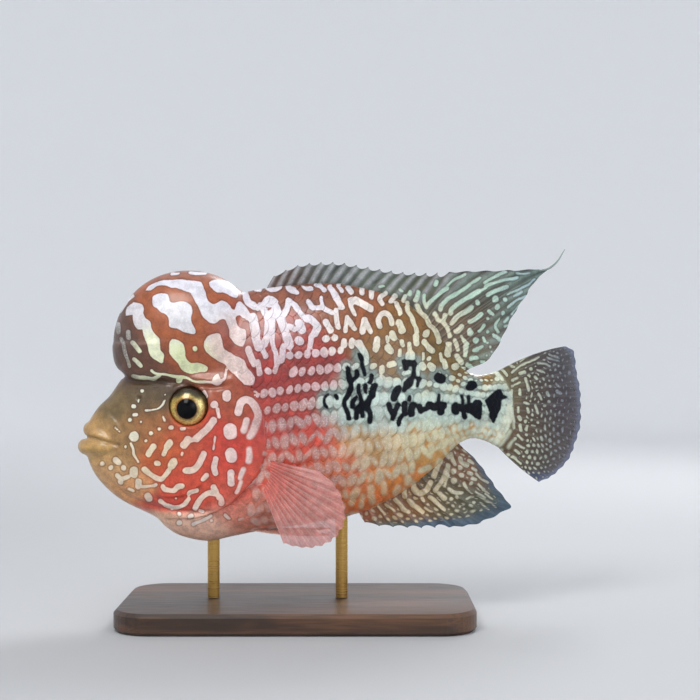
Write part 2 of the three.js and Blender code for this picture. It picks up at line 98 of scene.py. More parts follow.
# The hump, the eyes and the lips
HUMP = dict(x=-60.8, z=24, length=32.2, breadth=20, up=31.7, down=19, round_up=2.05, round_down=2.8)
EYE = dict(x=-58.5, z=-2, y=16.6, r=8.2, depth=5.4)
SOCKET = dict(inner_r=7.5, outer_r=8.3, behind=3.5)
LIP_CORNER_X = -91.5
LIP_BREADTH = 10.4
UPPER_LIP = dict(front_z=-12.4, corner_z=-18.2, r=3.3, reach=11.2)
LOWER_LIP = dict(front_z=-19.8, corner_z=-19.8, r=3.6, reach=13.2)

# The skin's mesh: the size of its quads, and the rounds that round off the crease under the hump
SKIN_QUAD = 0.62
CREASE_ROUNDS = 20


# Curves and small helpers

def curve(points, per_span=12):
    """Samples of a uniform Catmull-Rom line through the points."""
    p = np.asarray(points, float)
    ends = np.vstack([p[:1], p, p[-1:]])
    t = (np.arange(per_span) / per_span)[:, None]
    pieces = []
    for a, b, c, d in zip(ends, ends[1:], ends[2:], ends[3:]):
        v0, v1 = (c - a) / 2, (d - b) / 2
        pieces.append((2 * b - 2 * c + v0 + v1) * t**3 + (3 * c - 3 * b - 2 * v0 - v1) * t**2 + v0 * t + b)
    return np.vstack([*pieces, p[-1:]])


def profile(points):
    """A function of x through the points."""
    line = curve(points)
    order = np.argsort(line[:, 0], kind="stable")
    return lambda x: np.interp(x, line[order, 0], line[order, 1])


def smooth(low, high, x):
    """Rises from 0 at low to 1 at high with no corner."""
    t = np.clip((x - low) / (high - low), 0, 1)
    return t * t * (3 - 2 * t)


def waves(points, size, seed):
    """Smooth noise from -1 to 1 at the points, with features about the size given."""
    rng = np.random.default_rng(seed)
    total = np.zeros(len(points))
    for octave in range(3):
        for _ in range(5):
            direction = rng.normal(size=points.shape[1])
            direction *= 2 * math.pi * 2**octave / (size * 1.6 * np.linalg.norm(direction))
            total += np.sin(points @ direction + rng.uniform(0, 2 * math.pi)) * 0.55**octave
    return total / 4.2


back = profile(BACK_LINE)
belly = profile(BELLY_LINE)
breadth = profile(HALF_BREADTH)
broadest = profile(BROADEST_HEIGHT)


# The straight trunk as a surface of station x and angle round the section, 0 on the back

def trunk(x, angle):
    c, s = np.cos(angle), np.sin(angle)
    middle = broadest(x)
    power = 2 / np.where(c >= 0, UPPER_ROUNDNESS, LOWER_ROUNDNESS)
    reach = np.where(c >= 0, back(x) - middle, middle - belly(x))
    y = breadth(x) * np.sign(s) * np.abs(s) ** power
    return np.stack([x + 0 * angle, y, middle + reach * np.sign(c) * np.abs(c) ** power], -1)


TABLE_X = np.linspace(NOSE_X, TAIL_END, 420)
TABLE_ANGLE = np.linspace(0, math.pi, 181)
TABLE_REACH = np.linspace(-80, 80, 321)
BROADEST_COLUMN = 90


def trunk_tables():
    """The arc up from the broadest line at each angle, the angle at each arc, and the flank's length."""
    grid = trunk(TABLE_X[:, None], TABLE_ANGLE[None, :])
    steps = np.linalg.norm(np.diff(grid, axis=1), axis=2)
    walked = np.hstack([np.zeros((len(TABLE_X), 1)), np.cumsum(steps, axis=1)])
    arc = walked[:, BROADEST_COLUMN, None] - walked
    angle_at = np.array([np.interp(-TABLE_REACH, -row, TABLE_ANGLE) for row in arc])
    rising = np.hypot(np.gradient((back(TABLE_X) + belly(TABLE_X)) / 2, TABLE_X), 1)
    widening = np.hypot(np.gradient(breadth(TABLE_X), TABLE_X) * 0.7, 1)
    along = np.concatenate([[0], np.cumsum((rising * widening)[1:] * np.diff(TABLE_X))])
    return arc, angle_at, along


TABLE_ARC, TABLE_ANGLE_AT, TABLE_ALONG = trunk_tables()


def lookup(table, rows, columns, x, v):
    """A table's value between its grid lines."""
    i = np.clip((x - rows[0]) / (rows[1] - rows[0]), 0, len(rows) - 1.001)
    j = np.clip((v - columns[0]) / (columns[1] - columns[0]), 0, len(columns) - 1.001)
    i0, j0 = i.astype(int), j.astype(int)
    fi, fj = i - i0, j - j0
    near = table[i0, j0] * (1 - fj) + table[i0, j0 + 1] * fj
    far = table[i0 + 1, j0] * (1 - fj) + table[i0 + 1, j0 + 1] * fj
    return near * (1 - fi) + far * fi


def arc_of(p):
    """How far round the section a point lies from the broadest line, upwards positive."""
    x = np.clip(p[:, 0], NOSE_X + 0.2, TAIL_END)
    middle = broadest(x)
    rise = p[:, 2] - middle
    upper = rise >= 0
    power = np.where(upper, UPPER_ROUNDNESS, LOWER_ROUNDNESS) / 2
    reach = np.where(upper, back(x) - middle, middle - belly(x))
    across = np.abs(p[:, 1] / breadth(x)) ** power
    angle = np.arctan2(across, np.sign(rise) * np.abs(rise / reach) ** power)
    return lookup(TABLE_ARC, TABLE_X, TABLE_ANGLE, x, angle)


def on_trunk(x, arc, side):
    """Points of the trunk's surface and its outward normals there, upright beyond the ridge."""
    def at(x_, arc_):
        point = trunk(x_, lookup(TABLE_ANGLE_AT, TABLE_X, TABLE_REACH, x_, arc_))
        point[..., 1] *= side
        return point
    here = at(x, arc)
    normal = np.cross(at(x + 0.5, arc) - at(x - 0.5, arc), at(x, arc + 0.5) - at(x, arc - 0.5))
    length = np.linalg.norm(normal, axis=-1, keepdims=True)
    upright = np.zeros(normal.shape)
    upright[..., 2] = np.sign(arc)
    return here, np.where(length > 1e-6, -side * normal / np.maximum(length, 1e-6), upright)


def bent(p):
    """The fish's rear bends towards +Y."""
    past = np.maximum(p[..., 0] - BEND_START, 0)
    angle = past * BEND_PER_MM
    inner = 1 / BEND_PER_MM - p[..., 1]
    out = p.copy()
    behind = p[..., 0] > BEND_START
    out[..., 0] = np.where(behind, BEND_START + inner * np.sin(angle), p[..., 0])
    out[..., 1] = np.where(behind, 1 / BEND_PER_MM - inner * np.cos(angle), p[..., 1])
    return out


def placed(p):
    return ORIGIN + bent(p) * MM


def seen(p):
    """Where a point of either side shows on the middle plane, from the photograph's side."""
    near = p.copy()
    near[..., 1] = -np.abs(near[..., 1])
    near = bent(near)
    scale = -CAMERA[1] / (near[..., 1] - CAMERA[1])
    return CAMERA[[0, 2]] + (near[..., [0, 2]] - CAMERA[[0, 2]]) * scale[..., None]


def line_distance(points, line):
    """Distance to a line of points, on which side of it, and how far along it the nearest place is."""
    best = np.full(len(points), np.inf)
    side = np.zeros(len(points))
    along = np.zeros(len(points))
    for k, (a, b) in enumerate(zip(line, line[1:])):
        step = b - a
        t = np.clip((points - a) @ step / max(step @ step, 1e-9), 0, 1)
        away = points - a - t[:, None] * step
        d = np.hypot(away[:, 0], away[:, 1])
        closer = d < best
        best = np.where(closer, d, best)
        side = np.where(closer, np.sign(step[0] * away[:, 1] - step[1] * away[:, 0]), side)
        along = np.where(closer, (k + t) / (len(line) - 1), along)
    return best, side, along


# Meshes

def mesh_of(name, points, faces):
    mesh = bpy.data.meshes.new(name)
    mesh.from_pydata(points.tolist(), [], faces)
    return mesh


def new_object(name, mesh):
    made = bpy.data.objects.new(name, mesh)
    bpy.context.scene.collection.objects.link(made)
    return made


def ring_mesh(rings, first, last):
    """Vertices and faces of a closed surface from rings of points, with a point at either end."""
    count, around = rings.shape[:2]
    verts = np.vstack([first[None], rings.reshape(-1, 3), last[None]])
    at = 1 + np.arange(count)[:, None] * around + np.arange(around)[None, :]
    nxt = np.roll(at, -1, axis=1)
    quads = np.stack([at[:-1], at[1:], nxt[1:], nxt[:-1]], -1).reshape(-1, 4)
    caps = [(0, a, b) for a, b in zip(at[0], nxt[0])]
    caps += [(len(verts) - 1, b, a) for a, b in zip(at[-1], nxt[-1])]
    return verts, quads.tolist() + caps


def trunk_mesh():
    t = np.linspace(0.004, 1, 170) ** 1.5
    x = NOSE_X + (TAIL_END - NOSE_X) * t
    angle = np.linspace(0, 2 * math.pi, 112, endpoint=False)
    rings = trunk(x[:, None], angle[None, :])
    return ring_mesh(rings, np.array([NOSE_X, 0, NOSE_Z]), np.array([TAIL_END, 0, broadest(TAIL_END)]))


def hump_mesh():
    u = np.linspace(0, math.pi, 62)[1:-1, None]
    v = np.linspace(0, 2 * math.pi, 96, endpoint=False)[None, :]
    power = 2 / np.where(np.cos(v) >= 0, HUMP["round_up"], HUMP["round_down"])

    def shaped(value):
        return np.sign(value) * np.abs(value) ** power

    high = np.where(np.cos(v) >= 0, HUMP["up"], HUMP["down"])
    spread = np.abs(np.sin(u)) ** power
    rings = np.stack([
        HUMP["x"] - HUMP["length"] * shaped(np.cos(u)),
        HUMP["breadth"] * spread * shaped(np.sin(v)),
        HUMP["z"] + high * shaped(np.cos(v)) * spread,
    ], -1)
    front = np.array([HUMP["x"] - HUMP["length"], 0, HUMP["z"]])
    rear = np.array([HUMP["x"] + HUMP["length"], 0, HUMP["z"]])
    return ring_mesh(rings, front, rear)


def lip_mesh(lip):
    angle = np.linspace(-math.pi / 2, math.pi / 2, 41)
    front = np.cos(angle)
    middle = np.stack([
        LIP_CORNER_X - lip["reach"] * front,
        LIP_BREADTH * np.sin(angle),
        lip["corner_z"] + (lip["front_z"] - lip["corner_z"]) * front,
    ], -1)
    radius = lip["r"] * (0.5 + 0.5 * np.sqrt(np.clip(front, 0, 1)))
    along = np.gradient(middle, axis=0)
    along /= np.linalg.norm(along, axis=1, keepdims=True)
    side = np.cross([0, 0, 1.0], along)
    side /= np.linalg.norm(side, axis=1, keepdims=True)
    rise = np.cross(along, side)
    turn = np.linspace(0, 2 * math.pi, 20, endpoint=False)[None, :, None]
    ring = side[:, None] * np.cos(turn) + rise[:, None] * np.sin(turn)
    return ring_mesh(middle[:, None] + ring * radius[:, None, None], middle[0], middle[-1])


def remeshed(parts, voxel):
    """One closed mesh of even quads round all the parts together."""
    verts, faces = [], []
    for part_verts, part_faces in parts:
        offset = sum(len(v) for v in verts)
        verts.append(part_verts)
        faces += [tuple(offset + i for i in face) for face in part_faces]
    joined = new_object("parts", mesh_of("parts", np.vstack(verts), faces))
    modifier = joined.modifiers.new("remesh", "REMESH")
    modifier.mode = "VOXEL"
    modifier.voxel_size = voxel
    shell = bpy.data.meshes.new_from_object(joined.evaluated_get(bpy.context.evaluated_depsgraph_get()))
    bpy.data.objects.remove(joined)
    return shell


def coordinates(mesh):
    out = np.empty(len(mesh.vertices) * 3)
    mesh.vertices.foreach_get("co", out)
    return out.reshape(-1, 3)


def edge_ends(mesh):
    out = np.empty(len(mesh.edges) * 2, np.int64)
    mesh.edges.foreach_get("vertices", out)
    return out.reshape(-1, 2)


def relaxed(points, edges, weight, rounds):
    """Each point moves towards the mean of its neighbours, as far as its weight says."""
    count = np.bincount(edges.ravel(), minlength=len(points)).astype(float)
    for _ in range(rounds):
        total = np.zeros_like(points)
        for axis in range(3):
            total[:, axis] += np.bincount(edges[:, 0], points[edges[:, 1], axis], len(points))
            total[:, axis] += np.bincount(edges[:, 1], points[edges[:, 0], axis], len(points))
        points = points + (total / count[:, None] - points) * weight[:, None]
    return points


def normals_of(mesh, points):
    mesh.vertices.foreach_set("co", points.ravel())
    mesh.update()
    out = np.empty(len(points) * 3)
    mesh.vertex_normals.foreach_get("vector", out)
    return out.reshape(-1, 3)


def hump_level(p):
    """Below 1 inside the hump, 1 on its surface, and more outside."""
    rise = p[:, 2] - HUMP["z"]
    high = np.where(rise >= 0, HUMP["up"], HUMP["down"])
    power = np.where(rise >= 0, HUMP["round_up"], HUMP["round_down"])
    terms = np.abs((p[:, 0] - HUMP["x"]) / HUMP["length"]) ** power
    terms += np.abs(p[:, 1] / HUMP["breadth"]) ** power + np.abs(rise / high) ** power
    return terms ** (1 / power)


def trunk_level(p):
    """Below 1 inside the trunk, 1 on its surface, and more outside."""
    x = np.clip(p[:, 0], NOSE_X + 1, TAIL_END)
    middle = broadest(x)
    rise = p[:, 2] - middle
    power = np.where(rise >= 0, UPPER_ROUNDNESS, LOWER_ROUNDNESS)
    reach = np.where(rise >= 0, back(x) - middle, middle - belly(x))
    return (np.abs(p[:, 1] / breadth(x)) ** power + np.abs(rise / reach) ** power) ** (1 / power)


# Relief of the head, drawn on the side view in millimetres

GILL_MARGIN = [
    (-40.8, 13), (-36, 7), (-31, 0), (-28.2, -8), (-27.5, -17), (-28.5, -26), (-32.5, -34), (-39, -41),
    (-46, -46.5), (-56, -50.2), (-66, -51), (-74, -51),
]
PREOPERCLE = [
    (-48, 2), (-49.3, -8), (-50, -18), (-51, -28), (-55, -36), (-63, -41), (-74, -41.5), (-84, -38.5),
]
JAW_GROOVE = [
    (-98, -30.5), (-88.2, -40.8), (-80, -44.4), (-73, -46.4), (-64, -47.6), (-56, -48), (-48, -47.2),
]
MOUTH_LINE = [(-106.5, -15.8), (-102, -16.4), (-97.5, -17.8), (-93, -19), (-89.8, -19.8)]
CHEEK_FOLD = [
    (-98.2, -3.2), (-93.5, -6.4), (-90.2, -10.6), (-88.2, -15.5), (-88.6, -21), (-91.5, -25.5), (-97, -27.6),
]
HUMP_FOLD = [
    (-91.5, 13), (-87.5, 9.2), (-81.5, 7.6), (-74, 8), (-66.5, 7.4), (-59, 6.2), (-52, 5.6), (-45, 6.2),
    (-41, 8.6),
]
NOSTRIL = (-82.2, 0.9)

# Each groove's line, depth and half width, and the shares of its line over which it starts and ends
GROOVES = [
    (JAW_GROOVE, 0.8, 0.9, (0, 0.15), (1, 0.85)),
    (CHEEK_FOLD, 0.55, 1.0, (0, 0.2), (1, 0.8)),
    (MOUTH_LINE, 1.1, 0.75, (-0.2, -0.1), (1.02, 0.85)),
]


def bump(distance, width):
    """1 at no distance, falling away over the width."""
    return np.exp(-((distance / width) ** 2))


def plate_edge(view, line, lift, trough, step, full):
    """The rise of a bony plate inside its edge line, the trough outside, and the distance to the line."""
    d, side, along = line_distance(view, curve(line, 5))
    inside = d * -side
    on_plate = smooth(*step, inside)
    rise = lift[0] * np.exp(-np.maximum(inside, 0) / lift[1]) * on_plate
    rise -= trough[0] * np.exp(-np.maximum(-inside, 0) / trough[1]) * (1 - on_plate)
    return rise * (smooth(0.0, full, along) * smooth(1.0, 0.8, along)), d


def head_relief(p):
    """How far the skin of the head stands out of, or lies under, the plain form."""
    view = seen(p)
    gill_cover, d = plate_edge(view, GILL_MARGIN, (1.15, 13), (0.55, 2.2), (-0.45, 0.35), 0.06)
    out = gill_cover * (d < 30)
    out += plate_edge(view, PREOPERCLE, (0.35, 5), (0.3, 2), (-0.5, 0.4), 0.12)[0]
    for line, depth, width, start, end in GROOVES:
        d, _, along = line_distance(view, curve(line, 5))
        out -= depth * bump(d, width) * smooth(*start, along) * smooth(*end, along)
    d, side, along = line_distance(view, curve(HUMP_FOLD, 5))
    ends = smooth(-0.02, 0.08, along) * smooth(1.0, 0.85, along)
    above = np.maximum(d * side, 0)
    out += ends * (0.9 * bump(above - 2.6, 2.4) * (side > 0) - 1.0 * bump(d, 1.0))
    from_nostril = np.hypot(view[:, 0] - NOSTRIL[0], view[:, 1] - NOSTRIL[1])
    out += 0.35 * bump(from_nostril - 1.5, 0.6) - 1.3 * bump(from_nostril, 0.85)
    from_eye = np.hypot(p[:, 0] - EYE["x"], p[:, 2] - EYE["z"])
    out += 0.75 * bump(from_eye - 9.3, 1.2) + 0.25 * bump(from_eye - 13, 2.2)
    return out


def socketed(p):
    """The skin inside each eye's rim goes back behind the eyeball."""
    r = np.hypot(p[:, 0] - EYE["x"], p[:, 2] - EYE["z"])
    back_wall = EYE["y"] - SOCKET["behind"]
    deep = (1 - smooth(SOCKET["inner_r"], SOCKET["outer_r"], r)) * (np.abs(p[:, 1]) > back_wall)
    out = p.copy()
    out[:, 1] = np.sign(p[:, 1]) * (np.abs(p[:, 1]) * (1 - deep) + back_wall * deep)
    return out


def skin_mesh():
    """The skin's mesh and its points on the straight fish."""
    mesh = remeshed([trunk_mesh(), hump_mesh(), lip_mesh(UPPER_LIP), lip_mesh(LOWER_LIP)], SKIN_QUAD)
    points = coordinates(mesh)
    edges = edge_ends(mesh)
    crease = np.maximum(np.abs(hump_level(points) - 1) * 22, np.abs(trunk_level(points) - 1) * 22)
    near_hump = (1 - smooth(1.0, 4.5, crease)) * (points[:, 0] > -92)
    near_hump *= 0.35 + 0.65 * smooth(4, 22, points[:, 2])
    points = relaxed(points, edges, 0.15 + 0.8 * near_hump, CREASE_ROUNDS)
    normals = normals_of(mesh, points)
    points = points + normals * head_relief(points)[:, None]
    points = socketed(points)
    points = relaxed(points, edges, np.full(len(points), 0.25), 1)
    return mesh, points


# Marks, drawn on the side view in millimetres: closed outlines, and strokes with their half width

# Pearly marks of the hump, the shoulder and the face, with a few painted highlights drawn among them
HUMP_OUTLINES = [
    [(-79.4, 47), (-78.1, 48.9), (-75.3, 50.5), (-71.6, 51.5), (-66.6, 51.9), (-62.5, 51.6),
        (-58.8, 51.3), (-55.7, 50.9), (-54.5, 49.1), (-53.9, 46.2), (-53.1, 44.1), (-51.8, 42.1),
        (-49.8, 41.2), (-47.7, 42.3), (-45.9, 42.6), (-44, 41.7), (-42.6, 39.6), (-41.1, 39),
        (-40.3, 41.2), (-39.1, 41.7), (-37, 40.2), (-35.8, 38.4), (-35.4, 35.5), (-37, 35.1),
        (-38.7, 36.3), (-40.3, 35.9), (-40.1, 33.4), (-38.7, 31), (-36.6, 30.5), (-36, 28.1),
        (-36.4, 25.2), (-37.8, 22.9), (-39.9, 23.6), (-41.7, 25.2), (-43, 27.3), (-43.4, 30.5),
        (-44.2, 33), (-45.2, 34.7), (-47.3, 34.5), (-49.3, 33), (-51.2, 33), (-53.5, 34.7), (-55.3, 36.7),
        (-56.1, 39.2), (-57.6, 41.7), (-58.8, 44.1), (-59.8, 46.2), (-62.1, 47), (-65.8, 48),
        (-68.3, 48.2), (-70.3, 49.1), (-72.4, 49.5), (-74.9, 48.9), (-76.9, 47.4)],
    [(-52, 50.5), (-50.6, 51.5), (-48.1, 51.9), (-46.1, 51.3), (-43.8, 51.3), (-41.5, 50.3),
        (-40.3, 47.8), (-39.4, 44.9), (-40.7, 44.1), (-42.4, 44.5), (-44, 45.6), (-46.1, 46.2),
        (-48.5, 46.2), (-50.2, 47.4), (-51.6, 49.1)],
    [(-76.3, 44.1), (-75.3, 45.1), (-72.4, 45.8), (-69.9, 45.6), (-69.3, 43.7), (-68.9, 42.3),
        (-67.4, 41.7), (-65.4, 42.1), (-63.3, 42.6), (-61.3, 41.7), (-59.4, 40), (-59.4, 37.1),
        (-59.6, 35.1), (-59.2, 32.6), (-58, 30.5), (-58.4, 28.5), (-60.5, 28.7), (-63.3, 29.5),
        (-65.8, 30.8), (-68.3, 31), (-69.5, 32.2), (-69.5, 34.2), (-70.3, 36.3), (-72.4, 37.5),
        (-74.4, 39.2), (-75.9, 40.2), (-76.2, 42.1)],
    [(-87.8, 36.3), (-87.8, 38.4), (-86.2, 40.8), (-84.7, 42.1), (-82.3, 41.4), (-80.8, 41),
        (-80.2, 39.2), (-80.2, 37.1), (-79.2, 35.1), (-77.3, 33.8), (-76.9, 31.4), (-75.7, 28.9),
        (-73.6, 26.4), (-73.2, 24), (-72.8, 21.5), (-71.4, 19.4), (-71.4, 17.4), (-72.2, 15.7),
        (-74, 16.6), (-76.1, 17.8), (-77.9, 20.3), (-78.4, 23.1), (-79.4, 26), (-80.4, 28.9),
        (-80.8, 30.5), (-82.7, 30.5), (-84.5, 32.6), (-84.9, 35.1), (-84.7, 36.9), (-86.4, 36.5)],
    [(-69.1, 24.4), (-67.9, 26), (-65.4, 26), (-63.3, 24.6), (-62.3, 22.7), (-62.3, 20.3), (-61.7, 17.8),
        (-59.6, 16.1), (-56.8, 15.9), (-54.3, 15.1), (-52.6, 13.9), (-53.1, 12), (-55.1, 12),
        (-57.6, 11.8), (-60, 11.2), (-62.5, 12), (-64.2, 13.7), (-65.4, 15.7), (-67.2, 17.8),
        (-69.1, 19.8), (-69.1, 21.9)],
    [(-54.1, 25.2), (-52.6, 27.3), (-50.2, 28.3), (-47.3, 28.7), (-46.5, 26.4), (-46.1, 23.6),
        (-45.2, 21.3), (-42.4, 20.3), (-40.3, 18.8), (-37.8, 17.8), (-36.2, 15.7), (-35.8, 14.1),
        (-33.7, 12), (-32.1, 9.6), (-32.9, 6.3), (-37, 6.7), (-39.9, 10), (-42.8, 12.4), (-45.2, 14.9),
        (-47.3, 16.6), (-50.2, 18.2), (-53.1, 20.7), (-54.1, 22.7)],
    [(-34.3, 35.1), (-32.9, 36.3), (-31.5, 34.7), (-31, 30.5), (-30.4, 26.4), (-30.1, 22.3),
        (-32.1, 21.9), (-33.1, 24.4), (-33.9, 28.1), (-34.3, 31.4)],
    [(-51.4, 7.5), (-50.2, 10), (-48.1, 11.6), (-47.3, 9.6), (-46.5, 7.1), (-48.9, 6.3)],
]
SHOULDER_OUTLINES = [
    [(-28.1, 48.3), (-25.6, 49.1), (-21.8, 49.7), (-20.5, 48.3), (-21.4, 47), (-24.5, 46.4), (-26.8, 47)],
    [(-19.5, 49.1), (-17.2, 49.1), (-14.9, 47.8), (-13, 45.8), (-13.7, 44.9), (-16, 45.8), (-18.4, 47)],
    [(-12.8, 49.3), (-10.3, 48.9), (-8, 49.1), (-7.2, 47.4), (-8.8, 46.8), (-11.1, 47.6)],
    [(7.4, 43.9), (10.8, 44.5), (15, 42.4), (18.5, 40.1), (18.1, 37.4), (15.8, 38.5), (12.7, 40.1),
        (10.1, 41.2), (10.8, 38.5), (11.6, 35.9), (10.1, 36.2), (8.5, 39.3)],
]
FACE_OUTLINES = [
    [(-86.3, -16.1), (-85.9, -14.3), (-83.8, -13.4), (-82.6, -14.5), (-82.6, -16.5), (-83.8, -17.9),
        (-85.4, -17.6)],
]
HUMP_STROKES = [
    # The first two strokes are a painted highlight: the wet gleam along the fold under the hump
    (0.85, [(-84.5, 10.3), (-80, 9.4), (-76, 9.2), (-73.5, 10.6)]),
    (0.53, [(-76.9, 12.9), (-74.9, 11.4), (-67.9, 10.4), (-61.7, 9.4), (-57.6, 7.9), (-50.6, 7.7),
        (-45.5, 8.9), (-44.6, 13)]), (1.03, [(-58, 22.1)]), (0.91, [(-84.9, 24.6), (-81.8, 21.1)]),
    (0.82, [(-84.1, 17.6), (-81.4, 14.7)]), (0.74, [(-89.7, 26.4), (-87.8, 19.8), (-86.4, 14.5)]),
    (1.07, [(-91.3, 32.6), (-90.9, 29.3)]), (0.62, [(-60, 54.7), (-53.5, 54.3)]),
    # The thin stroke from (-90.5, 37.5) up the hump's front rim is a painted highlight
    (0.45, [(-68.3, 54.2), (-65, 54.6)]), (0.49, [(-90.5, 37.5), (-88, 41.2), (-84.7, 44.9)]),
    (1.15, [(-36.6, 46.2), (-35.4, 42.1), (-32.9, 40), (-30.4, 39.6)]),
    (1.15, [(-35, 20.7), (-32.9, 15.3)]), (0.99, [(-86.8, 29.3), (-86.6, 26.8)]),
    (0.66, [(-46.5, 54), (-40.7, 52.3), (-37, 49.5)]),
]
SHOULDER_STROKES = [
    (0.96, [(-31.6, 47.4), (-30.1, 47.2)]), (1.04, [(-5.7, 49.5), (-4.1, 48.7), (-2.6, 47.2)]),
    (1.27, [(0.1, 48.1), (2, 45.1), (3.5, 42.4), (5.1, 40.1)]),
    (0.84, [(3.9, 50.4), (3.7, 48.9), (5.1, 46.6)]), (1.15, [(7.9, 48.1), (8.9, 46.2)]),
    (1.08, [(13.7, 48.1), (13.7, 45.8)]), (1.08, [(17.9, 47), (17.9, 44.3)]),
    (1.08, [(-36.4, 46.2), (-34.9, 42.4), (-32.9, 40.9), (-31, 39.3)]),
    (1.15, [(-28.3, 40.9), (-27.2, 43.5), (-25.3, 43.5), (-23.3, 42)]), (2, [(-25.8, 41.6)]),
    (1.46, [(-29.5, 40.5), (-27.6, 37), (-26.6, 33.2), (-27.2, 27.8), (-28.1, 24)]),
    (1.08, [(-25.6, 37.4), (-24.5, 34.7), (-24.9, 29.7), (-24.5, 24), (-23.3, 20.1), (-23, 16.3)]),
    (1.77, [(-23.3, 39.3), (-21.4, 35.5), (-19.9, 31.6), (-18.7, 27.8), (-17.4, 23.2)]),
    (1.27, [(-18, 42.8), (-18.4, 39.3), (-20.3, 36.2)]),
    (1.08, [(-17.2, 42.4), (-14.1, 39.3), (-11.8, 36.2), (-10.3, 34.3)]),
    (1.61, [(-9.1, 35.1), (-6.8, 33.2), (-5.5, 31.6), (-6.5, 28.6)]),
    (1.61, [(-13.6, 33.2), (-11.8, 30.1)]), (1.15, [(-17.6, 31.6), (-15.3, 30.5)]),
    (1.84, [(-33.3, 35.5), (-32.2, 31.6), (-31.8, 27), (-30.8, 22.8)]),
    (1.34, [(-38.7, 40.9), (-36.8, 38.5), (-35.2, 35.5)]), (2, [(-13.4, 25.5)]),
    (1.15, [(-8, 27), (-8.8, 22.8)]),
    (1.08, [(-9.5, 42.4), (-8, 40.1), (-6.1, 39.3), (-3.4, 39.7), (-1.1, 38.5), (0.8, 37.4)]),
    (0.84, [(-3.8, 43.9), (-3.4, 40.9)]), (1.34, [(-1.8, 33.4), (0.1, 29.7)]),
    (1.08, [(2.4, 38.5), (2.8, 34.7), (3.5, 31.3)]), (0.96, [(7.4, 35.5), (6.6, 29.7)]),
    (0.96, [(7.8, 34.7), (10.6, 30.5)]), (1.34, [(14.7, 34.3), (13.9, 29.3)]),
    (1.08, [(15, 33.9), (17.4, 29.3)]), (1.61, [(-1.8, 26.3)]), (1.46, [(2, 26.6)]),
    (1.23, [(6.2, 25.5), (6.2, 23.6)]), (1.23, [(9.5, 25.5), (9.3, 23.2)]),
    (1.54, [(12.4, 24.3), (14.5, 20.9), (15, 16.3)]), (1.46, [(-35.2, 22), (-32.9, 16.3)]),
    (1.08, [(-29.1, 22), (-27.6, 18.6)]), (1.31, [(-19.9, 23.2), (-21, 17)]),
    (1.15, [(-31, 16.3), (-30.3, 11.3)]), (1.61, [(-26.8, 12.4)]), (1.08, [(-23.7, 12.1), (-22.6, 15.9)]),
    (1.31, [(20, 26.3), (19.7, 21.7)]),
]
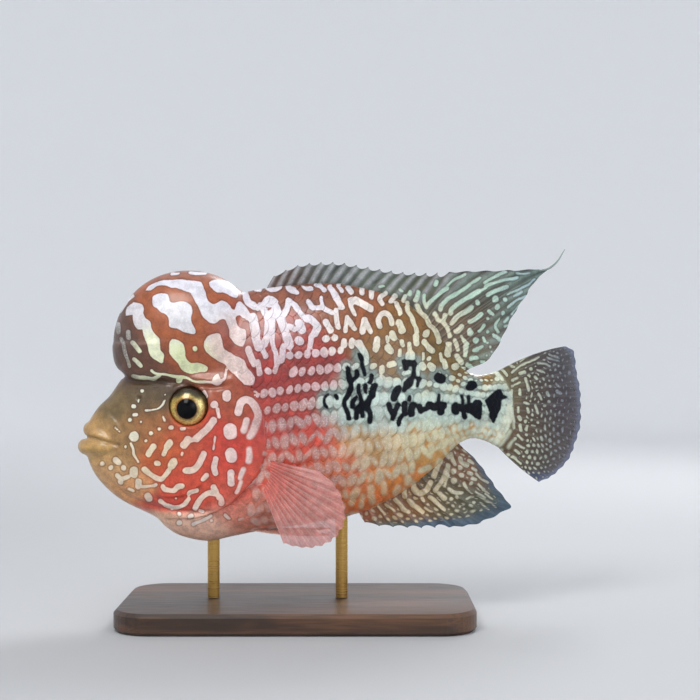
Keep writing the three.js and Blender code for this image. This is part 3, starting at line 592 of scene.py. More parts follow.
FACE_STROKES = [
    (0.72, [(-80.8, 4)]), (0.36, [(-82.4, 0), (-82.4, -1.1)]), (0.77, [(-84.7, -2.7), (-84.1, -2.7)]),
    (0.68, [(-84.1, -6.3), (-83.1, -6.3)]), (0.77, [(-86, -8.5)]), (0.45, [(-81.4, -9.6)]),
    (1, [(-76.8, -14.3)]), (0.81, [(-73.5, -12.4)]), (0.68, [(-79.4, -17.6)]),
    (0.9, [(-68.5, -11.8), (-67.9, -11.8)]), (0.68, [(-63.8, -12.4), (-62.7, -12.4)]),
    (0.59, [(-87.9, -20)]), (0.36, [(-71.1, 2.3)]),
    (0.54, [(-85.6, -18.8), (-84.7, -20.8), (-84.3, -23.5), (-82.5, -26.7)]),
    # The thin streak from (-79.3, -4.5) towards the eye is a painted highlight
    (0.36, [(-79.3, -4.5), (-74.8, -3.8), (-72.5, -2.3), (-71.1, -0.2)]),
    (0.54, [(-71.9, -7.2), (-71.1, -8.8)]), (1.36, [(-76.1, -20.1), (-78, -23.3)]),
    (1.45, [(-68.8, -18.5), (-70, -19.9)]), (1, [(-70.3, -20.4), (-71.4, -23.1)]),
    (1.54, [(-50.1, -9), (-53.5, -13.1), (-57.4, -16.5)]), (1.63, [(-61.2, -17.2), (-62.8, -19.2)]),
    (0.81, [(-59.9, -17.6), (-57.6, -16.7)]),
    (1.36, [(-54.2, -23.1), (-55.8, -26.7), (-58.5, -29.9), (-62.1, -30.3)]),
    (0.59, [(-63.5, -22.6), (-63.8, -23.5)]), (1, [(-74.8, -27.4), (-73.9, -27.4)]),
    (1.09, [(-79.9, -29.6), (-77.5, -31.7), (-74.3, -33.7), (-72.1, -33.9), (-69.4, -30.3)]),
    (1.63, [(-68.2, -28.1), (-67.1, -26.7)]), (0.41, [(-49.4, -15.8), (-50.1, -21.3)]),
    (1.18, [(-49.2, -25.3), (-49.7, -29), (-49.2, -31.4)]), (1.09, [(-53.1, -32.4), (-54.8, -34.2)]),
    (0.9, [(-97.9, -27.5)]), (1, [(-94.2, -29)]), (1.18, [(-92.2, -25.8), (-91.1, -26.9)]),
    (1.18, [(-88.8, -29.2)]), (1.72, [(-84.3, -30.5), (-84.2, -31.7)]),
    (0.9, [(-91.5, -32.4), (-89.7, -33.9), (-86.6, -33)]), (1.18, [(-90.2, -35.1)]),
    (1.36, [(-82.3, -35.1), (-82.5, -36.9)]), (0.54, [(-80.9, -37.3), (-77.5, -37.1), (-74.8, -36.2)]),
    (1.18, [(-71.8, -37.3), (-70.7, -38.5), (-67.5, -38.9), (-65.5, -37.3), (-63.7, -36.9)]),
    (1.49, [(-78.4, -41.4), (-77.7, -42.3)]), (0.9, [(-57.4, -38.8), (-59.9, -39.6), (-61, -40.7)]),
    (0.9, [(-73, -43.4), (-70.3, -45.2), (-66.6, -46.2), (-63, -45.2), (-60.8, -42.5)]),
    (0.5, [(-66.2, -42.1)]),
    (1.18, [(-57.8, -46.4), (-55.8, -42.5), (-52.6, -40.3), (-49, -40.3), (-47, -41.9), (-46.7, -44.3)]),
    (1.09, [(-64.8, -52.7)]), (0.63, [(-58.9, -53.4), (-54.4, -51.6), (-51.3, -49.8)]),
    (0.36, [(-92.3, -11.9), (-90.5, -13.7)]), (1.63, [(-49.7, -2)]),
    (0.81, [(-48.3, -4.1), (-47.7, -7.2)]), (0.81, [(-54.2, 3.2), (-53.2, 1.6)]),
    (0.63, [(-86.6, -38.2), (-84.7, -39.1)]), (1.36, [(-64.8, 8.6)]), (0.9, [(-64.8, -49)]),
    (0.7, [(-60.5, -50.2), (-59.4, -49.8)]), (0.6, [(-56, -47.6), (-54.6, -47.9)]),
    (0.75, [(-45, -49.4), (-43.6, -50.6)]), (0.6, [(-51, -51.8)]), (0.55, [(-39, -51.6), (-37.4, -51)]),
    (0.5, [(-68, -47)]), (0.6, [(-34, -49)]), (0.5, [(-30.5, -52.4)]),
]
GILL_COVER_STROKES = [
    (1.81, [(-44.3, 2.4), (-44.3, 1.3)]),
    (1.63, [(-39.6, -5.2), (-38.7, -1.7), (-36.8, 0), (-34.4, -0.4), (-32.2, -3), (-31, -6.9),
        (-32, -11.2), (-34.4, -15.5)]), (2.79, [(-43, -12.9), (-42.8, -14.2)]),
    (2.41, [(-42.6, -23.2), (-42.4, -24.5)]), (1.33, [(-34.8, -21.5), (-35, -26.2)]),
    (1.5, [(-42.6, -31.4), (-42.6, -35.7)]), (0.86, [(-38.3, -35.3), (-40, -39.6)]),
    (0.95, [(-27.9, -22.8)]), (0.95, [(-29, -29.2)]), (1.29, [(-49.9, -37.4), (-47.7, -41.7)]),
    (1.03, [(-37.4, -30.1), (-38.7, -33.5)]), (1.38, [(-35.7, -8.6), (-37.4, -12.9)]),
]

# Pearly marks of the rear of the back and above the anal fin
REAR_STROKES = [
    (1.1, [(21.4, 31.6), (20.5, 34.2), (21.6, 36.6), (23.5, 37.4), (25.5, 36.1), (26.3, 33.5),
        (26.5, 32.5)]), (1, [(24.1, 46), (21.5, 43.8), (22.4, 41.2)]),
    (1.1, [(27.9, 44.8), (26.2, 42.4)]), (0.9, [(32.2, 44.5), (31.4, 42.6)]),
    (0.9, [(38, 46.2), (36.8, 43)]), (1, [(28.5, 41.2), (29.6, 39), (30.1, 37.1)]),
    (1, [(33.4, 41.4), (33.4, 38.7), (35.1, 35.2), (36.5, 31.8), (37, 29.2)]),
    (1.1, [(37.5, 40.6), (38.5, 38.3), (41.3, 35.2), (42.8, 32.3), (44.7, 30.4), (46.1, 27.7),
        (46.7, 25.1)]), (0.9, [(44.7, 37.3), (46.8, 34.6), (49.1, 32.7), (50.8, 29.9), (51.7, 27.4)]),
    (1.5, [(29.7, 33.2), (30.9, 29.9)]), (1.2, [(36.8, 27.5), (37.2, 24.3)]),
    (1.3, [(26.8, 28.6), (27.5, 26.5)]), (1.3, [(40.6, 25), (42.7, 22.2), (43.9, 21.2)]),
    (1, [(30.9, 25.1), (31.2, 23.6)]), (0.8, [(24.5, 27.2), (24.8, 25.3)]),
    (1.2, [(20.4, 26.2), (20.4, 23.1)]), (1.5, [(25, 22.4), (26.1, 21)]),
    (0.9, [(34.1, 24.1), (34.1, 21.9)]), (1.9, [(34.4, 19.5), (34.5, 17.8)]),
    (0.8, [(30, 21.5), (30, 19.3)]), (1.4, [(25.5, 14.9), (27.4, 15.6)]),
    (1.1, [(22.2, 14), (22.3, 12.3)]), (1.6, [(39.6, 14.8), (39.9, 14.2)]),
    (1.6, [(43.3, 14.7), (44, 13.8)]), (1, [(37.2, 13.8), (37.3, 10.9)]),
    (1.3, [(51, 23.9), (50.5, 19.5)]), (0.8, [(47.6, 19.5), (48.1, 16.9)]),
    (1.1, [(49.2, 16.6), (49.5, 14.2)]), (0.9, [(53.6, 25.5), (54.9, 21.7)]),
    (1.1, [(54.7, 19), (56.3, 16.2)]), (1.4, [(53.6, 14.3), (54.1, 14.5)]),
    (0.9, [(48.8, 33.9), (49.5, 36.4)]), (0.7, [(40.3, 44.8), (40.7, 42.1), (41.7, 40.2)]),
    (0.5, [(21.4, 48.6), (23.1, 49)]), (0.8, [(34.1, 45.5), (34.4, 46.6)]),
    (0.6, [(30.7, 46.9), (30, 47.6)]), (0.6, [(39.9, 20), (40, 17.4)]),
    (0.8, [(21.9, 10.4), (22.8, 9.5)]), (0.9, [(31.7, 11.6), (33.7, 12.1)]),
    (1.1, [(14.2, -41.2), (13.2, -45.6)]), (1.5, [(17.5, -37.7), (18.1, -43.2)]),
    (1.4, [(9.6, -43.2), (9.2, -44.1)]), (1.3, [(38.9, -30.3), (42.3, -29.1)]),
    (1.3, [(23.1, -35.7), (23.3, -39.6)]), (1.4, [(29.1, -37.7), (28.1, -39.6)]),
    (1, [(32.2, -38.7), (32.2, -41.6)]),
    (1.2, [(35.9, -35.8), (36.5, -38.7), (38.5, -40.2), (41.8, -38.1), (43.2, -35.7)]),
    (1.3, [(47.1, -26.1), (45.9, -29.8), (44.7, -32.5)]), (0.8, [(49, -21.7), (51.1, -24.6)]),
]

# Black marks along the flank
INK_STROKES = [
    (0.8, [(12.5, 19.4), (13.6, 16.9), (14.2, 14), (14.7, 10.5)]),
    (1, [(7.6, 13.7), (8, 10.5), (9.1, 7.5), (9.1, 5.6), (7.8, 2.6), (6.5, 0.1), (6.3, -2.3), (7.1, -4.8),
        (8.1, -7.8)]), (0.8, [(11.5, 12.5), (11.3, 10), (9.6, 8)]), (0.8, [(17.7, 10.5), (17.2, 7.8)]),
    (0.8, [(12.3, 6.3), (12.2, 3.1), (13, 1.1), (13.8, -2.3), (14, -4.8)]),
    (0.8, [(15.2, 6.5), (15.2, 3.6)]), (1.4, [(19, 6.1), (18.4, 3.6), (18.2, 1.9)]),
    (1.2, [(17, 1.1), (16, -1.3), (15.7, -3.8)]), (1, [(16.5, -3.8), (17.2, -6.3), (17, -9.5)]),
    (0.9, [(10.8, 1.1), (9.8, -0.9), (9.7, -2.6)]), (1, [(12, -3.3), (11.5, -5.8), (11, -7.5)]),
    (1.1, [(12.8, -2.8), (13.8, -5.3), (14, -6.8)]), (0.8, [(2.6, 1.6), (3.1, 0.6)]),
    (0.5, [(-0.8, 2.6), (-2.5, 0.6), (-2.3, -1.8), (-1.3, -3.3)]), (1.2, [(32, 16.2), (32.4, 14)]),
    (1.2, [(33.7, 15.7), (36, 15.7)]), (0.7, [(36, 15.7), (35.8, 11)]), (1, [(35.9, 10.7), (34.7, 8.8)]),
    (1.6, [(34.3, 8), (33.2, 6.3)]), (0.9, [(32.4, 5.6), (31.7, 4.3)]), (0.7, [(38.4, 9), (37.3, 6.1)]),
    (0.5, [(36.7, 9.5), (38.4, 8.8)]), (1.6, [(29.1, 4.6), (28.3, 3.1), (27.7, 1.1)]),
    (0.7, [(34.2, 1.6), (34.1, 0.1)]), (1, [(25.1, -1.8), (25.7, -3.8), (26.8, -5.8)]),
    (1, [(29.1, -2.1), (28.1, -4.3), (26.8, -7.8)]), (1.1, [(32, -1.8), (32, -5.8)]),
    (0.8, [(31.8, -5.8), (30, -8.3), (29.5, -10.7)]), (1.4, [(35.7, -2.1), (34.8, -3.8), (34.9, -5.8)]),
    (1.1, [(38.4, -3.1), (38.9, -4.7)]), (0.9, [(38.7, -4.1), (41.6, -3.8)]),
    (1.7, [(42.7, -2.2), (44.6, -3.2)]), (1.8, [(44.6, -3.1), (48.3, -2.4)]),
    (0.6, [(46.8, 2.1), (46.6, -1.3)]), (1.6, [(47.2, -2.3), (47.3, -4.9)]),
    (0.8, [(42.4, -3.1), (41.1, -3.8)]), (1.6, [(53.9, -2.7), (54, -4.9)]),
    (1.6, [(54.5, -3.3), (58.9, -3.3)]), (2.2, [(59.9, -3.4), (62.9, -3.8)]),
    (0.6, [(56.3, 1.6), (56.9, -1.8)]), (0.7, [(59.4, 1.4), (59.4, -2.3)]),
    (1, [(56.9, -4.3), (57.9, -7.2)]), (2.1, [(63, -2.1), (63.4, -5.8)]),
    (1.2, [(60.9, -5.1), (64.1, -7.2)]), (2.2, [(46.8, 9.4), (47.8, 9.2)]), (2, [(60.4, 6), (61, 6.1)]),
]
INK_OUTLINES = [
    [(66.6, -0.1), (68.5, 1.6), (71.3, 4.1), (73.2, 4.5), (74.1, 2.1), (75.9, 1.1), (73.7, 0.2),
        (73.3, -1.8), (73, -4.3), (71.8, -5.8), (71.1, -8.8), (69.8, -9.7), (68.8, -7.3), (68, -4.3),
        (67.2, -1.8)],
]

# Pearly marks of the fins
DORSAL_STROKES = [
    (0.8, [(41.7, 40), (43.3, 42.1), (46.8, 45.5), (50.4, 48.1)]),
    (1, [(47.5, 38.9), (48.2, 41.1), (50.4, 43.2), (53.6, 45.5)]),
    (0.7, [(53.6, 45.5), (57.1, 47.4), (60.1, 49.8)]),
    (1, [(51.8, 37.4), (52.3, 39), (55.7, 41.8), (60.5, 44.6)]), (1.2, [(60.5, 44.6), (63.9, 46.7)]),
    (0.6, [(63.9, 46.7), (67.3, 48.3)]), (1, [(52.3, 32.9), (54, 35.1), (57.7, 37.8), (60.8, 39.6)]),
    (0.9, [(59.9, 33.6), (62.2, 34.9), (64.9, 36.9)]), (1.2, [(54.4, 29.5), (56.5, 31.6)]),
    (0.9, [(63.5, 42.3), (63.6, 41.4)]), (1.2, [(60.1, 29.6), (60.5, 28.6)]),
    (1.2, [(62.4, 25.6), (62.7, 25.5)]), (0.7, [(64.2, 29.6), (64.9, 30.1), (66.2, 32.1)]),
    (0.7, [(68, 29.4)]), (0.5, [(68, 34.8)]), (0.7, [(68.3, 38.3), (70, 36.8)]),
    (0.6, [(56.5, 27.4), (57.1, 26.3)]), (1, [(57.5, 25.6), (58.8, 24.3)]),
    (1, [(58.4, 23.2), (58.2, 19.1)]), (0.7, [(66, 26.8), (66.6, 25.3)]), (0.5, [(67.7, 24.6)]),
    (0.9, [(62.2, 21.4), (63.6, 21.9)]), (0.7, [(63.9, 22), (65.5, 22.6)]), (0.6, [(69.1, 22.7)]),
    (0.5, [(69.7, 20.7)]), (0.5, [(67.2, 19.2)]), (1, [(60.9, 17.8), (62.8, 18.2)]),
    (0.6, [(64.8, 16.5), (66, 16.5)]), (0.8, [(59.1, 15.2), (60.9, 14)]),
    (0.7, [(56.2, 13.6), (57.7, 13.4)]), (0.5, [(65.1, 14.1)]), (0.6, [(70.6, 27.5)]),
    (0.6, [(66.4, 50.3), (71, 53.2), (75.7, 55)]), (0.6, [(66.8, 48.8), (73.6, 51.3), (80.6, 52.6)]),
    (0.8, [(67.9, 45.2), (71.5, 47.1), (76.3, 48.7)]), (0.4, [(76.2, 45.4), (83, 48.2), (88.7, 51.8)]),
    (0.5, [(76.7, 39.9), (80.4, 43.1), (84, 44.7)]), (0.4, [(78.6, 36.8), (81.4, 40.5), (84.7, 42.1)]),
    (1.4, [(71, 43.3)]), (1, [(75.1, 43.2)]), (1.1, [(72.1, 39.9)]), (0.9, [(74.5, 37.4)]),
    (0.6, [(72.8, 35), (71.3, 32.1), (72.8, 29.4)]), (0.5, [(75.4, 33.6), (76.8, 35.4)]),
    (0.4, [(75.4, 31.6), (78.9, 32.4)]), (0.5, [(79.9, 35.5)]), (0.7, [(70.5, 28), (72.8, 25.9)]),
    (0.6, [(75.3, 28.4)]), (0.4, [(79.9, 54.5), (85.6, 54.5)]), (0.4, [(78.8, 44.4), (82.5, 46.5)]),
    (0.5, [(50.7, 49.3), (54.8, 52.5), (58, 53.8)]), (0.4, [(60.1, 49.8), (64.7, 52.7)]),
    (0.9, [(45.6, 49.8), (46, 50.6)]),
]
CAUDAL_STROKES = [
    (0.6, [(78.3, 4), (77.4, 0.3), (77.6, -3.5), (78.6, -6.7), (79.2, -11.9)]),
    (0.7, [(76.1, -7), (75.1, -10.5), (72.3, -15.1), (70.4, -18.3)]),
    (0.7, [(77.3, -13.3), (75.5, -16.1), (73.2, -19.3), (71.3, -21.1)]),
    (0.6, [(79.6, -16.5), (77.9, -18), (76.7, -20.2)]), (0.8, [(70.9, 12.6), (72.6, 10.3)]),
    (0.6, [(73.7, 13.7), (75.9, 10.6)]), (0.4, [(77.3, 15.1), (79.2, 14.2)]),
    (0.4, [(78.3, 11.8), (82.5, 15.1), (87.2, 17), (90, 18.4)]),
    (0.3, [(81.6, 16.5), (85.3, 18.8), (90.4, 20.8)]), (0.7, [(81.8, 11.5), (83.8, 12.3)]),
    (0.7, [(86.3, 13.4)]), (0.6, [(78.3, 8.6), (80.2, 9.1)]), (0.4, [(78.3, 5.9), (81.6, 7.5)]),
    (0.6, [(81.6, 4.6), (81.6, 2.6)]), (0.5, [(84.2, 9.4), (84.6, 6.8), (85.4, 4)]),
    (0.6, [(88.2, 10), (89, 9.1)]), (0.6, [(89, 5.9)]), (0.6, [(89.8, 2.5), (90.8, 0.4)]),
    (0.6, [(93.3, 3.4), (94.2, 1.8)]), (0.7, [(94.2, -0.7)]), (0.6, [(92.3, -2.5)]),
    (0.6, [(96.6, -2.5)]), (0.6, [(94.6, 5.9)]), (0.4, [(97.5, 6.8), (98.8, 5.4)]),
    (0.5, [(97.5, 4), (99.3, 2.6)]), (0.7, [(99.8, -0.3)]), (0.6, [(80.9, -3.1), (80.9, -4.8)]),
    (0.7, [(81.2, -7.2), (82, -8.5)]), (0.4, [(83.5, -1.2), (85.3, -1.7)]),
    (0.6, [(85.1, -3.6), (85.3, -4.9)]), (0.6, [(83.9, -9.1)]), (0.7, [(81.7, -11), (82.1, -13.2)]),
    (0.5, [(84.9, -11), (84.4, -12.8)]), (0.3, [(86.7, -10.9), (88.1, -11.2)]), (0.7, [(89.3, -9.3)]),
    (0.4, [(86.7, -8.5)]), (0.5, [(88.2, -2.6), (89.4, -5.7)]), (0.5, [(80.7, -15.2), (82.5, -17)]),
    (0.6, [(84.4, -15.1)]), (0.4, [(87.7, -14.7)]), (0.4, [(80.2, -18.9), (83.4, -20.6)]),
    (0.5, [(79.7, -21.7), (81.1, -23)]), (0.6, [(83.2, -24.2)]), (0.5, [(78.3, -24.5), (82.1, -27.2)]),
    (0.7, [(76.7, -23.5)]), (0.7, [(73.7, -21.6)]), (0.6, [(72.3, -23.7)]), (0.4, [(70.8, -21.7)]),
    (0.6, [(84.9, -17.5)]), (0.4, [(89.5, 16), (94.6, 14.7)]), (0.3, [(93.2, 18.4), (98.4, 16.6)]),
    (0.4, [(89, 13.2), (92.3, 11.7)]), (0.3, [(94.2, 19.8), (98.4, 17.9)]),
    (0.8, [(64.8, -18.6), (67.1, -18.4)]),
]
ANAL_STROKES = [
    (0.8, [(51.8, -23.2), (53.7, -27.8)]),
    (0.9, [(50.7, -28), (49.7, -31.8), (47.7, -35.3), (45.3, -39.1)]),
    (0.9, [(55.9, -25), (56.7, -26.9), (59.1, -27.9)]), (0.5, [(59.6, -26), (61.5, -27.4)]),
    (1, [(55.9, -29.1)]), (1.3, [(53.2, -30.6)]), (1.4, [(53.4, -34.8)]), (1.1, [(56.6, -32.5)]),
    (0.6, [(50.7, -32.3), (49.2, -37.2)]), (0.9, [(59.5, -31.2), (60.6, -31.8)]),
    (0.6, [(61.1, -29.3), (63, -30.3)]), (0.8, [(61.1, -33.8), (62.5, -34.3)]),
    (0.5, [(63, -31.8), (64.5, -33.3)]), (0.8, [(57.6, -35.8), (58.6, -37.7)]), (0.9, [(60.8, -36)]),
    (0.5, [(64, -36.2), (66, -38.2)]), (0.4, [(65, -33.9), (68, -35.7)]),
    (0.8, [(51.2, -38.3), (53.2, -39.7), (56.6, -39.8)]), (1, [(47.2, -40.3), (49.2, -42.2)]),
    (0.8, [(42.8, -41.8), (46.8, -45.1), (49.1, -47.1)]), (0.8, [(39.8, -42.2), (40.3, -43.2)]),
    (1, [(34, -43.3), (36.9, -46.1), (39.8, -48.1)]), (0.9, [(28, -42.8), (31, -46.1), (33.9, -48.1)]),
    (0.6, [(24, -44.7), (27.5, -47.6)]), (0.5, [(20.6, -45.7), (23.6, -49.1)]),
    (0.5, [(40.8, -46.2), (43.8, -48.1)]), (0.9, [(52.2, -42.7)]), (0.8, [(54.7, -41.7)]),
    (0.5, [(58.6, -42.7), (60.1, -41.7)]), (0.8, [(62.1, -44.1)]), (0.5, [(55.6, -45.6)]),
    (0.5, [(57.6, -46.9)]), (0.5, [(52.9, -45.6)]), (0.4, [(61.6, -41.7)]),
    (0.4, [(58.6, -38.2), (61.1, -40.2)]), (0.3, [(62.5, -39.2), (66.5, -42.2)]),
    (0.3, [(63.5, -41.2), (68, -44.1)]), (0.3, [(66.6, -40.3), (70, -42.7)]),
    (0.3, [(65.5, -38.3), (68.5, -40.2)]), (0.3, [(67.6, -43.2), (71.4, -46.1)]),
    (0.3, [(64.6, -44.2), (68.5, -47.1)]),
]
# Colours of the skin between the marks, and of the pearly marks: place, spread and sRGB colour
GROUND_ZONES = [
    (-60, 40, 18, 12, (154, 82, 44)), (-89, 26, 6, 12, (84, 60, 50)), (-80, 14, 8, 6, (92, 58, 42)),
    (-56, 15, 12, 6, (150, 76, 42)), (-42, 30, 8, 12, (138, 60, 44)), (-60, 55, 16, 4, (138, 88, 72)),
    (-93, -2, 6, 6, (112, 92, 56)), (-79, 1, 7, 7, (92, 76, 50)), (-70, 7, 9, 4, (76, 60, 46)),
    (-101, -14, 5, 5, (172, 134, 82)), (-100, -22, 5, 5, (188, 150, 88)), (-97, -31, 7, 6, (196, 152, 104)),
    (-86, -38, 7, 5, (208, 150, 100)), (-88, -17, 5, 7, (150, 115, 70)), (-78, -12, 7, 7, (150, 100, 58)),
    (-71, -22, 7, 6, (190, 92, 44)), (-62, -17, 8, 7, (182, 78, 48)), (-60, -32, 10, 8, (200, 74, 50)),
    (-47, -20, 7, 10, (192, 62, 48)), (-42, -1, 6, 7, (156, 74, 48)), (-48, 7, 6, 5, (146, 74, 46)),
    (-69, -44, 10, 3, (204, 70, 52)), (-41, -38, 7, 6, (204, 84, 66)),
    (-60, -56, 14, 4.5, (255, 206, 182)), (-76, -52, 7, 3, (240, 186, 150)),
    (-34, -50, 10, 6, (230, 144, 124)), (-13, -49, 12, 5, (224, 136, 114)), (-17, 44, 14, 4, (126, 70, 48)),
    (-17, 26, 10, 8, (146, 46, 38)), (-30, 15, 7, 9, (150, 44, 40)), (-12, 8, 9, 8, (140, 46, 42)),
    (-20, -8, 9, 8, (170, 62, 54)), (-13, -22, 10, 7, (196, 74, 58)), (2, -32, 10, 7, (206, 112, 74)),
    (8, 37, 10, 7, (134, 76, 42)), (30, 29, 10, 8, (124, 86, 38)), (43, 17, 8, 8, (112, 86, 36)),
    (21, -17, 10, 6, (176, 136, 84)), (40, -19, 10, 6, (190, 140, 72)), (30, -34, 10, 5, (206, 124, 50)),
    (16, -43, 9, 4, (216, 118, 66)), (60, 9, 6, 4, (126, 98, 48)), (64, -14, 7, 4, (188, 140, 72)),
    (10, 0, 10, 6, (150, 140, 125)), (40, -3, 14, 5, (148, 160, 140)), (76, -3, 4, 9, (176, 180, 150)),
]
PEARL_ZONES = [
    (-62, 48, 20, 8, (208, 206, 216)), (-64, 36, 12, 7, (210, 209, 213)), (-76, 20, 7, 8, (222, 226, 190)),
    (-60, 17, 8, 6, (205, 212, 165)), (-85, 38, 6, 6, (205, 200, 205)), (-90, 22, 5, 10, (120, 112, 104)),
    (-42, 22, 8, 10, (205, 180, 172)), (-84, -10, 9, 9, (228, 226, 204)), (-75, -22, 10, 9, (224, 206, 172)),
    (-58, -16, 9, 9, (222, 190, 172)), (-62, -38, 14, 6, (232, 206, 184)), (-92, -32, 8, 7, (232, 216, 188)),
    (-52, -51, 18, 4, (255, 244, 232)),
    (-45, -15, 8, 18, (226, 198, 192)), (-20, 42, 18, 9, (206, 200, 208)), (-24, 24, 12, 8, (194, 176, 182)),
    (-14, 10, 12, 7, (190, 152, 152)), (-14, -10, 12, 8, (174, 130, 126)), (-8, -26, 14, 8, (200, 142, 128)),
    (-30, -48, 16, 6, (232, 160, 142)), (12, 32, 10, 8, (218, 208, 198)), (34, 24, 12, 8, (206, 202, 172)),
    (46, 10, 8, 6, (204, 206, 176)), (14, -4, 12, 7, (176, 188, 180)), (44, -4, 14, 7, (190, 204, 184)),
    (20, -24, 12, 8, (196, 176, 142)), (42, -22, 12, 7, (206, 196, 154)), (22, -42, 12, 5, (214, 176, 134)),
    (72, -3, 6, 12, (214, 220, 196)),
]
DORSAL_ZONES = [
    (-20, 54, 12, 4, (96, 72, 62)), (0, 55, 14, 5, (88, 96, 90)), (25, 52, 12, 5, (94, 104, 90)),
    (40, 47, 10, 7, (78, 80, 50)), (55, 48, 12, 8, (58, 56, 36)), (52, 32, 8, 8, (92, 68, 36)),
    (75, 50, 12, 8, (54, 58, 44)), (68, 30, 8, 10, (74, 58, 34)), (88, 50, 10, 6, (74, 92, 88)),
    (80, 34, 7, 6, (68, 84, 74)), (100, 58, 6, 4, (96, 114, 118)), (66, 18, 6, 4, (84, 80, 46)),
]
ANAL_ZONES = [
    (14, -49, 6, 3, (180, 96, 60)), (24, -48, 8, 4, (150, 98, 52)), (36, -45, 8, 5, (136, 88, 42)),
    (48, -44, 8, 6, (94, 80, 38)), (58, -44, 8, 8, (72, 72, 42)), (70, -46, 8, 6, (64, 76, 64)),
    (60, -30, 6, 6, (126, 80, 40)), (66, -34, 5, 5, (92, 72, 50)), (26, -55, 14, 3, (84, 98, 92)),
    (52, -54.5, 14, 2.8, (44, 76, 108)), (76, -49, 8, 4, (50, 74, 102)),
]
CAUDAL_ZONES = [
    (78, 6, 6, 8, (104, 92, 60)), (80, -12, 6, 7, (96, 72, 44)), (88, 4, 7, 10, (66, 54, 44)),
    (90, -16, 7, 8, (70, 58, 42)), (98, 12, 7, 7, (60, 56, 60)), (100, -4, 7, 10, (60, 50, 56)),
    (99, -22, 7, 8, (64, 56, 52)), (112, 14, 6, 8, (78, 86, 102)), (114, -4, 6, 12, (72, 76, 94)),
    (108, -28, 7, 6, (52, 66, 98)), (121, -6, 4, 14, (104, 116, 134)), (97, -35, 8, 3, (40, 60, 100)),
    (112, 22, 6, 3, (98, 112, 130)),
]
CAUDAL_PEARL = (192, 198, 170)
INK_HALO = (122, 146, 142)
INK_HALO_PEARL = (178, 198, 188)

# The distance from any mark that a point without one is given
UNMARKED = 4.0


def linear(colour):
    """An sRGB colour in the linear values that the shaders take."""
    c = np.asarray(colour, float) / 255
    return np.where(c <= 0.04045, c / 12.92, ((c + 0.055) / 1.055) ** 2.4)


def zoned(view, zones):
    """Colours at the places, each a blend of the zones near it."""
    total = np.full(len(view), 1e-9)
    colour = np.zeros((len(view), 3))
    for x, z, wide, high, srgb in zones:
        weight = np.exp(-((view[:, 0] - x) / wide) ** 2 - ((view[:, 1] - z) / high) ** 2) + 1e-7
        total += weight
        colour += weight[:, None] * linear(srgb)
    return colour / total[:, None]


def mixed(a, b, share):
    """A blend for each point, of colours given for each point or of one sRGB colour."""
    a, b = (linear(c) if isinstance(c, tuple) else c for c in (a, b))
    share = np.asarray(share)[:, None]
    return a * (1 - share) + b * share


def unmarked(p):
    return np.full(len(p), UNMARKED)


def nearby(view, line, margin):
    low, high = line.min(0) - margin, line.max(0) + margin
    return np.flatnonzero(np.all((view > low) & (view < high), axis=1))


def add_strokes(field, view, strokes):
    """Lowers the field to the distance outside each stroke, negative inside it."""
    for half_width, points in strokes:
        line = curve(points, 4) if len(points) > 1 else np.array([points[0], points[0]], float)
        close = nearby(view, line, half_width + 3)
        if len(close):
            d, _, _ = line_distance(view[close], line)
            field[close] = np.minimum(field[close], d - half_width)


def add_outlines(field, view, outlines):
    """Lowers the field to the distance outside each closed outline, negative inside it."""
    for points in outlines:
        loop = curve([*points, points[0]], 2)
        close = nearby(view, loop, 3)
        if not len(close):
            continue
        place = view[close]
        inside = np.zeros(len(close), bool)
        for a, b in zip(loop, loop[1:]):
            crosses = (a[1] > place[:, 1]) != (b[1] > place[:, 1])
            at = a[0] + (place[:, 1] - a[1]) / (b[1] - a[1] + 1e-12) * (b[0] - a[0])
            inside ^= crosses & (place[:, 0] < at)
        d, _, _ = line_distance(place, loop)
        field[close] = np.minimum(field[close], np.where(inside, -d, d))


# The scales lie in rows along the body, each row half a scale out of step with the next

ROW_PITCH = 7.1
ROW_PHASE = 5.2
SCALE_PITCH = 3.6
DEEPEST = 105
TABLE_ROW_PITCH = ROW_PITCH * np.clip((back(TABLE_X) - belly(TABLE_X)) / DEEPEST, 0.2, 1) ** 0.6
TABLE_SCALE_PITCH = SCALE_PITCH - 1.0 * smooth(15, 70, TABLE_X)
TABLE_COLUMN = np.concatenate([[0], np.cumsum(np.diff(TABLE_X) / TABLE_SCALE_PITCH[1:])])
ROWS = np.arange(-11, 12)
COLUMNS = np.arange(0, int(TABLE_COLUMN[-1]) + 1)


def row_pitch(x):
    return np.interp(x, TABLE_X, TABLE_ROW_PITCH)


def scale_sites():
    """Every scale's station and arc on one side, in grids of row by column."""
    row, column = np.meshgrid(ROWS, COLUMNS, indexing="ij")
    x = np.interp(column + 0.5 * (row % 2), TABLE_COLUMN, TABLE_X)
    return x, row * row_pitch(x) + ROW_PHASE * row_pitch(x) / ROW_PITCH


